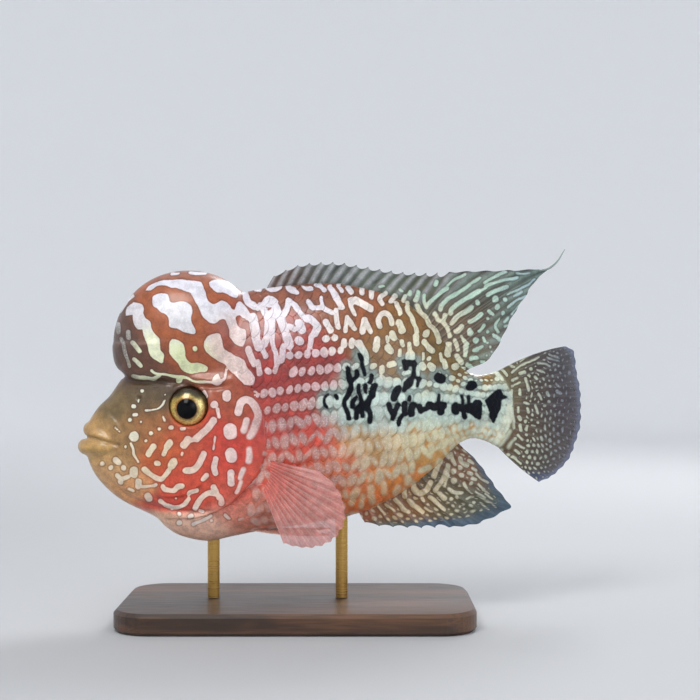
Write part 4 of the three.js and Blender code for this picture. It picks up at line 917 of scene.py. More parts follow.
def pearl_sizes(side):
    """Half length, half height and tilt of the pearl on each scale; a negative size leaves it out."""
    rng = np.random.default_rng(5 if side < 0 else 6)
    x, arc = scale_sites()
    place, _ = on_trunk(x, arc, side)
    view = seen(place.reshape(-1, 3))
    vx, vz = view.T.reshape(2, *x.shape)
    rear = smooth(2, 22, vx)
    low = smooth(2, -12, vz)
    middle_band = np.exp(-((vz + 3) / 8.5) ** 2) * smooth(-18, 8, vx)
    long = 1.62 + 0.1 * rear + 0.25 * middle_band
    high = 1.95 + 0.8 * low + 0.75 * low * rear + 1.0 * middle_band
    long *= row_pitch(x) / ROW_PITCH * 0.4 + 0.6
    high *= row_pitch(x) / ROW_PITCH
    size = 1 + rng.normal(size=x.shape) * (0.1 + 0.07 * rear + 0.05 * low)
    # Few and small pearls on the rear of the back, and on the saddle before the tail fin
    upper_rear = rear * smooth(6, 12, vz)
    size *= 1 - upper_rear * np.where(rng.random(x.shape) < 0.3, 0.5, 0.05)
    saddle = smooth(46, 54, vx) * smooth(76, 70, vx) * smooth(6.5, 9, vz)
    size *= 1 - saddle * np.where(rng.random(x.shape) < 0.6, 0.45, 0.15)
    # None where the marks are drawn, nor under the throat
    marks = unmarked(view)
    add_strokes(marks, view, SHOULDER_STROKES + REAR_STROKES)
    add_outlines(marks, view, SHOULDER_OUTLINES)
    drawn = (vx < 16) & (vz > 23) | (vx < -19) & (vz > 11) | (marks.reshape(x.shape) < 1.5)
    drawn |= (vx < -46) & (rng.random(x.shape) < 0.45) | (vx < -34) & (vz < -40)
    size = np.where(drawn, -3, size)
    tilt = rng.normal(size=x.shape) * (0.16 + 0.2 * low) - 0.25 * upper_rear
    return long * size, high * size, tilt


PEARLS = {side: pearl_sizes(side) for side in (-1, 1)}


def add_pearls(field, p, side, chosen):
    """Lowers the field over the pearl of each scale."""
    place = p[chosen]
    x = place[:, 0] + waves(place, 16, 7) * 0.6 + waves(place, 6, 8) * 0.3
    arc = arc_of(place) + waves(place, 16, 9) * 0.6 + waves(place, 5, 10) * 0.3
    long, high, tilt = PEARLS[side]
    pitch = row_pitch(x)
    at_row = np.round((arc - ROW_PHASE * pitch / ROW_PITCH) / pitch).astype(int)
    at_column = np.interp(x, TABLE_X, TABLE_COLUMN)
    best = field[chosen]
    for row_step in (-1, 0, 1):
        row = np.clip(at_row + row_step, ROWS[0], ROWS[-1])
        for column_step in (-1, 0, 1):
            half = 0.5 * (row % 2)
            column = np.clip(np.round(at_column - half).astype(int) + column_step, 0, COLUMNS[-1])
            site_x = np.interp(column + half, TABLE_COLUMN, TABLE_X)
            site_arc = (row + ROW_PHASE / ROW_PITCH) * row_pitch(site_x)
            i, j = row - ROWS[0], column
            u, v = x - site_x, arc - site_arc
            u, v = u + v * tilt[i, j], v
            a, b = long[i, j], high[i, j]
            shown = (a > 0) & (row == at_row + row_step)
            reach = np.hypot(u / np.where(shown, a, 1), v / np.where(shown, b, 1))
            d = np.where(shown, (reach - 1) * np.minimum(a, b), 9)
            best = np.minimum(best, d)
    field[chosen] = best


# How far the marks of the hidden side stray from those of the near side
FAR_SIDE_DRIFT = 4.5


def jitter(p, size, seed, reach):
    return np.stack([waves(p, size, seed), waves(p, size, seed + 1)], -1) * reach


def body_marks(p):
    """Distances outside the pearly marks, some of which are painted highlights, and outside the black ones,
    and the colours at each point.

    Pearl and ink are in millimetres, and soft is how far a pearly mark's edge is blurred.
    """
    far = smooth(-1, 3, p[:, 1])[:, None]
    view = seen(p) + jitter(p, 40, 1, FAR_SIDE_DRIFT) * far + jitter(p, 5, 3, 0.22)
    pearl = unmarked(p)
    add_outlines(pearl, view, HUMP_OUTLINES + SHOULDER_OUTLINES + FACE_OUTLINES)
    body_strokes = HUMP_STROKES + SHOULDER_STROKES + REAR_STROKES + FACE_STROKES + GILL_COVER_STROKES
    add_strokes(pearl, view, body_strokes)
    _, side_of, _ = line_distance(view, curve(GILL_MARGIN, 5))
    behind = (side_of > 0) & (view[:, 0] > -60) & (view[:, 1] < 60) | (view[:, 0] > -27)
    behind &= hump_level(p) > 1.06
    for side in (-1, 1):
        add_pearls(pearl, p, side, np.flatnonzero(behind & (p[:, 1] * side >= 0)))
    ink = unmarked(p)
    add_strokes(ink, view, INK_STROKES)
    add_outlines(ink, view, INK_OUTLINES)
    ground = zoned(view, GROUND_ZONES)
    tint = zoned(view, PEARL_ZONES)
    halo = smooth(4.0, 1.2, ink) * 0.75
    ground = mixed(ground, INK_HALO, halo)
    tint = mixed(tint, INK_HALO_PEARL, halo)
    # The tail fin's colours start on the body, along a curve that is hollow towards the tail
    root = smooth(-0.9, 0.9, view[:, 0] - 78.8 + np.minimum(((view[:, 1] + 3.5) / 6.2) ** 2, 7))
    pearl = np.where(root > 0.5, UNMARKED, pearl)
    add_strokes(pearl, view, CAUDAL_STROKES)
    ground = mixed(ground, zoned(view, CAUDAL_ZONES), root)
    tint = mixed(tint, CAUDAL_PEARL, root)
    below = smooth(-2, -14, view[:, 1]) * smooth(-44, -34, view[:, 0])
    soft = 0.16 + 0.5 * below + 0.2 * smooth(-10, 20, view[:, 0]) * smooth(12, 4, view[:, 1])
    return dict(pearl=pearl, ink=ink, ground=ground, tint=tint, soft=soft)


def write_attributes(mesh, values):
    for name, value in values.items():
        if value.ndim == 1:
            mesh.attributes.new(name, "FLOAT", "POINT").data.foreach_set("value", value.astype(np.float32))
        else:
            rgba = np.hstack([value, np.ones((len(value), 1))]).astype(np.float32)
            mesh.attributes.new(name, "FLOAT_COLOR", "POINT").data.foreach_set("color", rgba.ravel())


def loop_corners(mesh):
    """Each corner's vertex and face."""
    vertex = np.empty(len(mesh.loops), np.int64)
    mesh.loops.foreach_get("vertex_index", vertex)
    total = np.empty(len(mesh.polygons), np.int64)
    mesh.polygons.foreach_get("loop_total", total)
    return vertex, np.repeat(np.arange(len(total)), total)


# Unwrap of the trunk and the hump: one island for each side of each
UV_SCALE = 1 / 300
TRUNK_ISLANDS = np.array([(0.01, 0.25), (0.01, 0.73)])
HUMP_ISLANDS = np.array([(0.79, 0.05), (0.79, 0.5)])


def trunk_uv(p, side):
    along = np.interp(p[:, 0], TABLE_X, TABLE_ALONG)
    return TRUNK_ISLANDS[(side > 0).astype(int)] + np.stack([along, arc_of(p)], -1) * UV_SCALE


def hump_uv(p, side):
    x = (p[:, 0] - HUMP["x"]) / HUMP["length"]
    y = p[:, 1] / HUMP["breadth"]
    z = (p[:, 2] - HUMP["z"]) / HUMP["up"]
    from_front = np.arccos(np.clip(-x / np.sqrt(x * x + y * y + z * z + 1e-9), -1, 1))
    round_it = np.arctan2(np.abs(y), z)
    place = np.stack([from_front / math.pi * 0.2, round_it / math.pi * 0.4], -1)
    return HUMP_ISLANDS[(side > 0).astype(int)] + place


def write_uv(mesh, uv):
    mesh.uv_layers.new(name="OFBake").data.foreach_set("uv", uv.astype(np.float32).ravel())


def smooth_shaded(mesh):
    mesh.polygons.foreach_set("use_smooth", np.ones(len(mesh.polygons), bool))


def finished(name, mesh, marks, uv, material):
    """Puts a mesh in the scene with its marks, unwrap and material."""
    write_attributes(mesh, marks)
    write_uv(mesh, uv)
    smooth_shaded(mesh)
    mesh.materials.clear()
    mesh.materials.append(material)
    mesh.update()
    return new_object(name, mesh)


def make_skin(material):
    mesh, straight = skin_mesh()
    mesh.vertices.foreach_set("co", placed(straight).ravel())
    vertex, face = loop_corners(mesh)
    corners = straight[vertex]
    count = np.bincount(face)
    level = hump_level(straight) - trunk_level(straight)
    on_hump = np.bincount(face, level[vertex]) / count < 0
    on_hump &= np.bincount(face, corners[:, 2]) / count > 5
    side = np.where(np.bincount(face, corners[:, 1]) / count > 0, 1, -1)[face]
    uv = np.where(on_hump[face][:, None], hump_uv(corners, side), trunk_uv(corners, side))
    made = finished("skin", mesh, body_marks(straight), uv, material)
    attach(made, "root")
    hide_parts("head", "nuchal_hump", "torso", "tail", "gill_cover_left", "gill_cover_right")


# Scale plates: thin solid discs that overlap towards the tail

PLATE_RINGS = np.array([0.3, 0.56, 0.78, 0.93, 1.0])
PLATE_SIDES = 22

# Half height as a share of the row, and in millimetres the overlap, root depth, tilt, dome and thickness
PLATE = dict(tall=0.62, overlap=2.8, sunk=0.2, tilt=0.46, dome=0.1, thick=0.24)


def plate_faces():
    """Faces of one plate: a centre point, its rings, then a lower ring and a lower centre point."""
    rings, n = len(PLATE_RINGS), PLATE_SIDES
    k = np.arange(n)
    after = (k + 1) % n
    faces = [(0, 1 + a, 1 + b) for a, b in zip(k, after)]
    for ring in range(rings):
        a, b = 1 + ring * n, 1 + (ring + 1) * n
        faces += [(a + i, b + i, b + j, a + j) for i, j in zip(k, after)]
    low, centre = 1 + rings * n, 1 + (rings + 1) * n
    faces += [(centre, low + j, low + i) for i, j in zip(k, after)]
    return faces


def plate_points():
    """One plate's points in the unit disc, u along the fish and v across, their radius and side."""
    turn = np.linspace(0, 2 * math.pi, PLATE_SIDES, endpoint=False)
    radius = np.concatenate([[0], np.repeat(PLATE_RINGS, PLATE_SIDES), np.ones(PLATE_SIDES), [0]])
    angle = np.concatenate([[0], np.tile(turn, len(PLATE_RINGS)), turn, [0]])
    lower = np.zeros(len(angle))
    lower[-PLATE_SIDES - 1:] = 1
    return np.cos(angle) * radius, np.sin(angle) * radius, radius, lower


def make_scales(name, side, material):
    """The coat of scales on one side of the trunk."""
    rng = np.random.default_rng(11 if side < 0 else 12)
    x, arc = (grid.ravel() for grid in scale_sites())
    middle, _ = on_trunk(x, arc, side)
    view = seen(middle)
    d, side_of, _ = line_distance(view, curve(GILL_MARGIN, 5))
    to_back = np.interp(x, TABLE_X, TABLE_ARC[:, 0]) - arc
    to_belly = np.interp(x, TABLE_X, -TABLE_ARC[:, -1]) + arc
    keep = (to_back > 1.5) & (to_belly > 1.5) & (x > -60) & (x < TAIL_END - 2.5)
    keep &= ((side_of > 0) & (d > 2.2) | (view[:, 0] > -26)) & (view[:, 1] > -51.5)
    keep &= hump_level(middle) > 1.09
    x, arc, to_back, to_belly = (values[keep][:, None] for values in (x, arc, to_back, to_belly))
    u, v, radius, lower = plate_points()
    share = np.interp(x, TABLE_X, TABLE_SCALE_PITCH) / SCALE_PITCH
    half_long = (SCALE_PITCH + PLATE["overlap"]) / 2 * share
    along = share * SCALE_PITCH / 2 - half_long + half_long * u
    tall = PLATE["tall"] * row_pitch(x)
    across = np.where(v > 0, np.minimum(tall, 0.9 * to_back), np.minimum(tall, 0.9 * to_belly))
    across = across * v * (1 - 0.1 * u)
    lift = rng.uniform(0.85, 1.2, len(x))[:, None]
    height = -PLATE["sunk"] + PLATE["tilt"] * lift * (u + 1) / 2
    height = height + PLATE["dome"] * (1 - radius**2) - PLATE["thick"] * lower
    place, normal = on_trunk(x + along, arc + across, side)
    straight = (place + normal * (height * share)[..., None]).reshape(-1, 3)
    place = place.reshape(-1, 3)
    offsets = np.arange(len(x)) * len(u)
    faces = [tuple(o + i for i in face) for o in offsets.tolist() for face in plate_faces()]
    mesh = mesh_of(name, placed(straight), faces)
    if side > 0:
        mesh.flip_normals()
    marks = body_marks(place)
    tone = np.repeat(rng.normal(size=len(x)), len(u))
    marks["ground"] *= (1 + 0.07 * tone)[:, None]
    marks["tint"] *= (1 + 0.04 * tone)[:, None]
    vertex, _ = loop_corners(mesh)
    made = finished(name, mesh, marks, trunk_uv(place, np.full(len(place), side))[vertex], material)
    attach(made, "root")


# Fins: sheets of rays and membrane, from the same rays as the solid fins

DORSAL = dict(
    spines=16, rays=12, start=-29, spines_to=39, end=57.5, sunk=3.5, tip_start=-24, tip_spines_to=52,
    tip_end=103, on_margin=5, inward=-1, outline=back, bow=0.05,
    margin=[
        (-30, 49.6), (-24, 53.5), (-14, 58), (-5, 59.3), (4, 59.3), (12.5, 58), (24.5, 56), (36, 55),
        (49, 55.2), (62, 56), (78.5, 56.7), (103, 58),
    ],
    trailing=[(103, 58), (96, 52.5), (84.5, 38), (76, 24), (67.5, 14.6), (62, 13.6)],
)
FILAMENT = [(97, 56.9), (103, 58.2), (108, 61.5), (112.5, 67)]
FILAMENT_RADII = [0.5, 0.5, 0.35, 0.15]
ANAL = dict(
    spines=7, rays=9, start=11, spines_to=33, end=55, sunk=3.5, tip_start=15, tip_spines_to=52, tip_end=82,
    on_margin=4, inward=1, outline=belly, bow=0.05,
    margin=[(9, -50), (12.5, -51.6), (20.6, -54.2), (41, -55.5), (62, -55), (72.5, -52.3), (82, -47.9)],
    trailing=[(82, -47.9), (72.7, -36), (66.2, -28), (61, -23), (57.5, -20.3)],
)
CAUDAL = dict(
    rays=17, root=74, root_top=11.5, root_bottom=-19.5,
    margin=[
        (108, 22.6), (114, 23), (118.5, 20), (122.5, 5), (124, -7), (119, -22.5), (108, -33.5), (97, -37.4),
    ],
)
PECTORAL = dict(rays=13, x=-28.5, z=-29, rise=5.5, length=38, lift=14, spread={-1: (-10, -66), 1: (2, -44)})
PELVIC = dict(rays=6, x=-37, y=6.5, z=-55.5, length=38, spread=7)


def share_along(line, share):
    """The point that lies the share of the way along a flat line."""
    steps = np.hypot(*np.diff(line, axis=0).T)
    walked = np.concatenate([[0], np.cumsum(steps)])
    return np.array([np.interp(share * walked[-1], walked, line[:, axis]) for axis in (0, 1)])


def flat(points):
    """Points of the side view on the middle plane."""
    points = np.asarray(points, float)
    return np.stack([points[:, 0], np.zeros(len(points)), points[:, 1]], -1)


def median_rays(fin):
    """Roots along the body's outline; tips along the margin and then down the rear edge."""
    margin = curve(fin["margin"])
    trailing = curve(fin["trailing"])
    roots, tips = [], []
    for i in range(fin["spines"] + fin["rays"]):
        soft = i - fin["spines"] + 1
        if soft <= 0:
            share = i / (fin["spines"] - 1)
            x = fin["start"] + (fin["spines_to"] - fin["start"]) * share
            tip_x = fin["tip_start"] + (fin["tip_spines_to"] - fin["tip_start"]) * share
        else:
            x = fin["spines_to"] + (fin["end"] - fin["spines_to"]) * soft / fin["rays"]
            share = min(soft / fin["on_margin"], 1) ** 1.15
            tip_x = fin["tip_spines_to"] + (fin["tip_end"] - fin["tip_spines_to"]) * share
        roots.append((x, fin["outline"](x) + fin["inward"] * fin["sunk"]))
        if soft <= fin["on_margin"]:
            tips.append((tip_x, np.interp(tip_x, margin[:, 0], margin[:, 1])))
        else:
            tips.append(share_along(trailing, (soft - fin["on_margin"]) / (fin["rays"] - fin["on_margin"])))
    return flat(roots), flat(tips), np.tile([0.0, 0, -fin["inward"]], (len(roots), 1))


def caudal_rays():
    share = np.linspace(0, 1, CAUDAL["rays"])
    margin = curve(CAUDAL["margin"])
    height = CAUDAL["root_top"] + (CAUDAL["root_bottom"] - CAUDAL["root_top"]) * share
    roots = [(CAUDAL["root"], z) for z in height]
    tips = [share_along(margin, s) for s in share]
    return flat(roots), flat(tips), np.stack([0 * share, 0 * share, 1 - 2 * share], -1)


def pectoral_rays(side):
    """The fin fans from the flank just behind the gill cover and stands a little off the side."""
    share = np.linspace(0, 1, PECTORAL["rays"])
    upper, lower = PECTORAL["spread"][side]
    angle = np.radians(upper + (lower - upper) * share)
    lift = math.radians(PECTORAL["lift"])
    length = PECTORAL["length"] * (0.6 + 0.4 * np.sin(math.pi * share**0.8)) + 2.5
    x = PECTORAL["x"] + 1.5 * np.sin(math.pi * share)
    z = PECTORAL["z"] + PECTORAL["rise"] * (1 - 2 * share)
    height = (broadest(x) - z) / (broadest(x) - belly(x))
    y = breadth(x) * (1 - height**LOWER_ROUNDNESS) ** (1 / LOWER_ROUNDNESS) - 2.5
    roots = np.stack([x, side * y, z], -1)
    outwards = side * (math.sin(lift) + 0.12 + 0.12 * share)
    reach = np.stack([np.cos(angle) * math.cos(lift), outwards, np.sin(angle)], -1)
    return roots, roots + reach * length[:, None], np.tile([0.0, side, 0], (len(share), 1))


def pelvic_rays(side):
    """The fin lies back along the belly, its first ray outermost and longest."""
    share = np.linspace(0, 1, PELVIC["rays"])
    x, y, z = PELVIC["x"], PELVIC["y"], PELVIC["z"]
    roots = np.stack([x + 3.5 * share, side * (y - 2.5 * share), z + 1.5 + 0 * share], -1)
    tip_x = x + PELVIC["length"] * (1 - 0.32 * share**1.3)
    tips = np.stack([tip_x, side * (y + 4.5 - PELVIC["spread"] * share), z - 1 + 1.2 * share], -1)
    return roots, tips, np.tile([0.0, 0, -1], (len(share), 1))


def fin_sheet(rays, bow, spines, rows, per_gap=10, notch=(0.06, 0.02), thick=0.3, ridge=0.42, wave=0.35):
    """A closed sheet of membrane over rays, with its points, faces and facts.

    rays holds each ray's root, tip and the way it bows. notch is how far the membrane between two
    spines, and between two soft rays, falls short of their tips. The sheet is thick in millimetres,
    and a ray rises by ridge from it. The facts are each point's ray number, its share of the way out,
    its ray's length and how far up a ray's ridge it lies.
    """
    roots, tips, bends = (curve(part, per_gap) for part in rays)
    number = np.linspace(0, len(rays[0]) - 1, len(roots))
    within = number % 1
    gap = np.minimum(number.astype(int), len(rays[0]) - 2)
    spiny = (gap < spines - 1).astype(float)
    depth = np.where(spiny > 0, notch[0], notch[1])
    hollow = np.sin(math.pi * within)
    shape = np.where(spiny > 0, hollow**0.6 * (0.6 + 0.6 * within), hollow**2)
    share = np.linspace(0, 1, rows)[None, :] * (1 - depth * shape)[:, None]
    length = np.linalg.norm(tips - roots, axis=1)[:, None]
    middle = roots[:, None] + (tips - roots)[:, None] * share[..., None]
    middle = middle + bends[:, None] * (4 * share * (1 - share) * length * bow)[..., None]
    along = np.gradient(middle, axis=1)
    across = np.gradient(middle, axis=0)
    normal = np.cross(along, across)
    normal /= np.linalg.norm(normal, axis=-1, keepdims=True) + 1e-12
    gap_wide = np.linalg.norm(across, axis=-1) * per_gap
    near = np.minimum(within, 1 - within)[:, None] * gap_wide
    split = smooth(0.42, 1.0, share) * 0.2 * gap_wide * (1 - spiny)[:, None]
    from_ray = np.abs(near - split)
    wide = 0.42 + 0.1 * spiny[:, None] - 0.14 * share
    crest = np.exp(-((from_ray / wide) ** 2)) * (1 - 0.62 * share)
    edge = smooth(1.0, 0.965, share / (1 - depth * shape)[:, None])
    half = (0.5 * thick * (1 - 0.5 * share) + ridge * crest) * (0.25 + 0.75 * edge)
    fold = wave * np.sin(number * 1.9 + 0.6)[:, None] * share**1.5
    fold = fold + 0.9 * wave * np.sin(share * 5 + number[:, None] * 0.45) * share
    pleat = 0.22 * np.cos(2 * math.pi * within)[:, None] * smooth(0, 0.3, share)
    middle = middle + normal * (fold + pleat * 0.5)[..., None]
    upper = middle + normal * half[..., None]
    lower = middle - normal * half[..., None]
    columns = len(roots)
    points = np.concatenate([upper.reshape(-1, 3), lower.reshape(-1, 3)])
    at = np.arange(columns * rows).reshape(columns, rows)
    under = at + columns * rows

    def strip(a, b):
        return np.stack([a[:-1], a[1:], b[1:], b[:-1]], -1).reshape(-1, 4)

    faces = np.concatenate([
        np.stack([at[:-1, :-1], at[:-1, 1:], at[1:, 1:], at[1:, :-1]], -1).reshape(-1, 4),
        np.stack([under[:-1, :-1], under[1:, :-1], under[1:, 1:], under[:-1, 1:]], -1).reshape(-1, 4),
        strip(under[:, 0], at[:, 0]), strip(at[:, -1], under[:, -1]),
        strip(at[0], under[0]), strip(under[-1], at[-1]),
    ])
    facts = {
        "number": np.broadcast_to(number[:, None], share.shape), "share": share, "crest": crest,
        "length": np.broadcast_to(length, share.shape),
    }
    facts = {name: np.concatenate([value.ravel(), value.ravel()]) for name, value in facts.items()}
    return points, faces.tolist(), facts


def fin_marks(facts, ground, tint, pearl, thin):
    return dict(
        ground=ground, tint=tint, pearl=pearl, ink=unmarked(pearl), soft=np.full(len(pearl), 0.3),
        thin=thin, crest=facts["crest"], along=facts["share"] * facts["length"],
    )


def dorsal_marks(p, facts):
    view = seen(p) + jitter(p, 4, 21, 0.3)
    ground = zoned(view, DORSAL_ZONES)
    number, share = facts["number"], facts["share"]
    spiny = smooth(DORSAL["spines"] + 2, DORSAL["spines"] - 2, number)
    streak = smooth(0.1, 0.6, waves(np.stack([number * 2.2 - share * 3, share * 2], -1), 1.6, 23))
    ground *= 1 - (0.45 * streak * spiny)[:, None]
    # A pale band just behind each spine, and painted shade in a dark band between the spines
    behind_spine = 0.5 + 0.5 * np.cos(2 * math.pi * (number - 0.2))
    ground *= 1 - (0.35 * spiny * (1 - behind_spine) ** 3)[:, None]
    ground = mixed(ground, (176, 178, 184), 0.62 * behind_spine**2 * spiny * smooth(0.12, 0.4, share))
    between = 0.5 - 0.5 * np.cos(2 * math.pi * number)
    pale = between * smooth(13, 17, number) * smooth(0.35, 0.7, share) * 0.45
    ground = mixed(ground, (142, 166, 156), pale)
    edge = smooth(0.94, 0.99, share) * smooth(20.5, 18, number)
    ground = mixed(ground, (22, 24, 28), edge * 0.9)
    mint = mixed((170, 200, 180), (158, 186, 198), smooth(66, 92, view[:, 0]))
    tint = mixed(zoned(view, PEARL_ZONES), mint, smooth(0.12, 0.42, share))
    pearl = unmarked(p)
    add_strokes(pearl, view, REAR_STROKES + DORSAL_STROKES)
    thin = smooth(0.55, 1, share) * (0.2 + 0.35 * smooth(20, 27, number))
    return fin_marks(facts, ground, tint, pearl, thin)


# Rows of dots across the rays: millimetres between rows, dots for each ray, and their radius
ANAL_DOTS = dict(pitch=3.1, per_ray=1.5, radius=0.5)
CAUDAL_DOTS = dict(pitch=2.7, per_ray=1.3, radius=0.55)


def ray_dots(dots, number, out, drift, stretch, spread):
    """Distance from the nearest dot, and its row. Every second row lies half a dot out of step."""
    ring = out / dots["pitch"]
    row = np.floor(ring)
    columns = number * dots["per_ray"] + 0.5 * (row % 2) + drift
    return np.hypot((ring % 1 - 0.5) * dots["pitch"] / stretch, (columns % 1 - 0.5) * spread), row


def anal_marks(p, facts):
    view = seen(p) + jitter(p, 4, 24, 0.3)
    number, share = facts["number"], facts["share"]
    band = smooth(0.7, 0.93, share) * smooth(26, 44, view[:, 0])
    ground = mixed(zoned(view, ANAL_ZONES), (50, 78, 100), band * 0.8)
    tint = mixed((206, 184, 140), (172, 172, 150), smooth(36, 64, view[:, 0]))
    drawn = unmarked(p)
    add_strokes(drawn, view, REAR_STROKES + ANAL_STROKES)
    out = share * facts["length"] + 0.9 * waves(p, 7, 33)
    distance, row = ray_dots(ANAL_DOTS, number, out, 0.25 * waves(p, 6, 34), 1.7, 2.1)
    distance -= ANAL_DOTS["radius"] * (1 + 0.25 * np.sin(row * 2.7 + number * 1.9))
    pearl = np.minimum(np.where((share < 0.82) & (drawn > 0.8), distance, UNMARKED), drawn)
    return fin_marks(facts, ground, tint, pearl, smooth(0.5, 1, share) * 0.35)


def caudal_marks(p, facts):
    view = seen(p) + jitter(p, 4, 26, 0.3)
    number, share = facts["number"], facts["share"]
    ground = mixed(zoned(view, CAUDAL_ZONES), (98, 108, 140), smooth(0.9, 0.98, share) * 0.7)
    tint = mixed(CAUDAL_PEARL, (106, 114, 128), smooth(82, 102, view[:, 0]))
    drawn = unmarked(p)
    add_strokes(drawn, view, CAUDAL_STROKES)
    out = share * facts["length"] + 1.2 * np.sin(number * 0.9) + 1.0 * waves(p, 9, 28)
    stretch = 1 + 0.5 * smooth(-6, -20, view[:, 1]) + 0.6 * smooth(6, 16, view[:, 1])
    spread = 1.3 + 1.6 * share
    distance, row = ray_dots(CAUDAL_DOTS, number, out, 0.3 * waves(p, 7, 29), stretch, spread)
    size = (1 - 0.55 * smooth(0.7, 1.0, share)) * (1 + 0.2 * np.sin(row * 3.3 + number * 2))
    distance -= CAUDAL_DOTS["radius"] * size
    pearl = np.where((share > 0.3) & (share < 0.97) & (drawn > 0.9), distance, UNMARKED)
    pearl = np.minimum(pearl, drawn)
    return fin_marks(facts, ground, tint, pearl, 0.12 + 0.4 * smooth(0.55, 1, share))


def pectoral_marks(p, facts):
    share = facts["share"]
    ground = mixed((206, 96, 84), (196, 128, 122), smooth(0.1, 0.7, share))
    ground = mixed(ground, (232, 190, 176), 0.5 * facts["crest"] * smooth(0.15, 0.4, share))
    return fin_marks(facts, ground, ground, unmarked(p), 0.75 * smooth(0.04, 0.4, share))


def pelvic_marks(p, facts):
    share = facts["share"]
    ground = mixed((214, 140, 116), (196, 130, 110), smooth(0.1, 0.9, share))
    ground = mixed(ground, (236, 196, 176), 0.5 * facts["crest"])
    return fin_marks(facts, ground, ground, unmarked(p), 0.2 * smooth(0.2, 0.8, share))


def make_fin(name, sheet, marks, material, filament=None):
    points, faces, facts = sheet
    if filament is not None:
        tube_points, tube_faces = filament
        faces = faces + [tuple(len(points) + i for i in face) for face in tube_faces]
        share = np.ones(len(tube_points))
        more = {"number": share * 20.5, "share": share * 0.9, "crest": share, "length": share * 50}
        facts = {key: np.concatenate([value, more[key]]) for key, value in facts.items()}
        points = np.vstack([points, tube_points])
    mesh = mesh_of(name, placed(points), faces)
    vertex, _ = loop_corners(mesh)
    uv = np.stack([facts["share"], facts["number"] / facts["number"].max()], -1) * 0.48
    uv[:, 0] += 0.5 * (np.arange(len(points)) >= len(points) / 2)
    made = finished(name + "_skin", mesh, marks(points, facts), 0.005 + uv[vertex] * 0.98, material)
    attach(made, "root")
    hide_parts(name)


def tube_mesh(line, radii, around=10):
    """A round thread of the middle plane, its radius given at even steps along it."""
    line = flat(curve(line, 8))
    radius = np.interp(np.linspace(0, 1, len(line)), np.linspace(0, 1, len(radii)), radii)
    along = np.gradient(line, axis=0)
    along /= np.linalg.norm(along, axis=1, keepdims=True)
    side = np.tile([0.0, 1, 0], (len(line), 1))
    rise = np.cross(along, side)
    turn = np.linspace(0, 2 * math.pi, around, endpoint=False)[None, :, None]
    ring = side[:, None] * np.cos(turn) + rise[:, None] * np.sin(turn)
    return ring_mesh(line[:, None] + ring * radius[:, None, None], line[0], line[-1])


# Eyes: a painted ball with a pupil that stands out a little

PUPIL = dict(x=-0.6, z=-0.9, r=4.3, bulge=0.7, bulge_r=3.6)
EYE_BACK = 0.6
IRIS_COLOURS = dict(
    gold=(206, 172, 78), pale=(236, 220, 140), inner=(128, 70, 40), top=(70, 62, 34), rim=(52, 38, 26),
    pupil=(4, 5, 8),
)


def iris_colour(radius, angle):
    """The eye's colour at a distance and direction from the pupil's middle."""
    gold = mixed(IRIS_COLOURS["gold"], IRIS_COLOURS["pale"], 0.5 + 0.5 * np.cos(angle + 0.6))
    gold = mixed(gold, IRIS_COLOURS["inner"], smooth(5.8, 4.4, radius) * 0.8)
    dark_top = smooth(0.35, 0.85, np.sin(angle)) * smooth(4.6, 6.6, radius)
    colour = mixed(gold, IRIS_COLOURS["top"], dark_top)
    colour = mixed(colour, IRIS_COLOURS["rim"], smooth(6.6, 7.8, radius) * 0.85)
    fleck = 0.5 + 0.5 * waves(np.stack([angle * 6, radius], -1), 2, 31)
    colour = mixed(colour, colour * 0.55, fleck * 0.5)
    return mixed(colour, IRIS_COLOURS["pupil"], smooth(PUPIL["r"] + 0.25, PUPIL["r"] - 0.25, radius))


def make_eye(name, side, material):
    r = np.concatenate([np.linspace(0, 1, 44)[1:], [0.8]])
    turn = np.linspace(0, 2 * math.pi, 120, endpoint=False)
    x = np.outer(r, np.cos(turn)) * EYE["r"]
    z = np.outer(r, np.sin(turn)) * EYE["r"]
    dome = np.sqrt(np.clip(1 - r**2, 0, 1)) * EYE["depth"]
    dome[-1] = -EYE_BACK * EYE["depth"]
    from_pupil = np.hypot(x - PUPIL["x"], z - PUPIL["z"])
    bulge = PUPIL["bulge"] * np.exp(-((from_pupil / PUPIL["bulge_r"]) ** 4))
    bulge[-1] = 0
    rings = np.stack([EYE["x"] + x, side * (EYE["y"] + dome[:, None] + bulge), EYE["z"] + z], -1)
    front = np.array([EYE["x"], side * (EYE["y"] + EYE["depth"] + PUPIL["bulge"]), EYE["z"]])
    rear = np.array([EYE["x"], side * (EYE["y"] - EYE_BACK * EYE["depth"]), EYE["z"]])
    points, faces = ring_mesh(rings, front, rear)
    mesh = mesh_of(name, placed(points), faces)
    if side > 0:
        mesh.flip_normals()
    middle = np.array([EYE["x"], EYE["z"]])
    away = points[:, [0, 2]] - middle - [PUPIL["x"], PUPIL["z"]]
    radius = np.hypot(*away.T)
    colour = iris_colour(radius, np.arctan2(away[:, 1], away[:, 0]))
    marks = dict(ground=colour, iris=smooth(4.2, 4.8, radius))
    vertex, _ = loop_corners(mesh)
    uv = 0.5 + (points[:, [0, 2]] - middle) * 0.05
    made = finished(name + "_ball", mesh, marks, uv[vertex], material)
    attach(made, "root")
    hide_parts(name)


# Materials

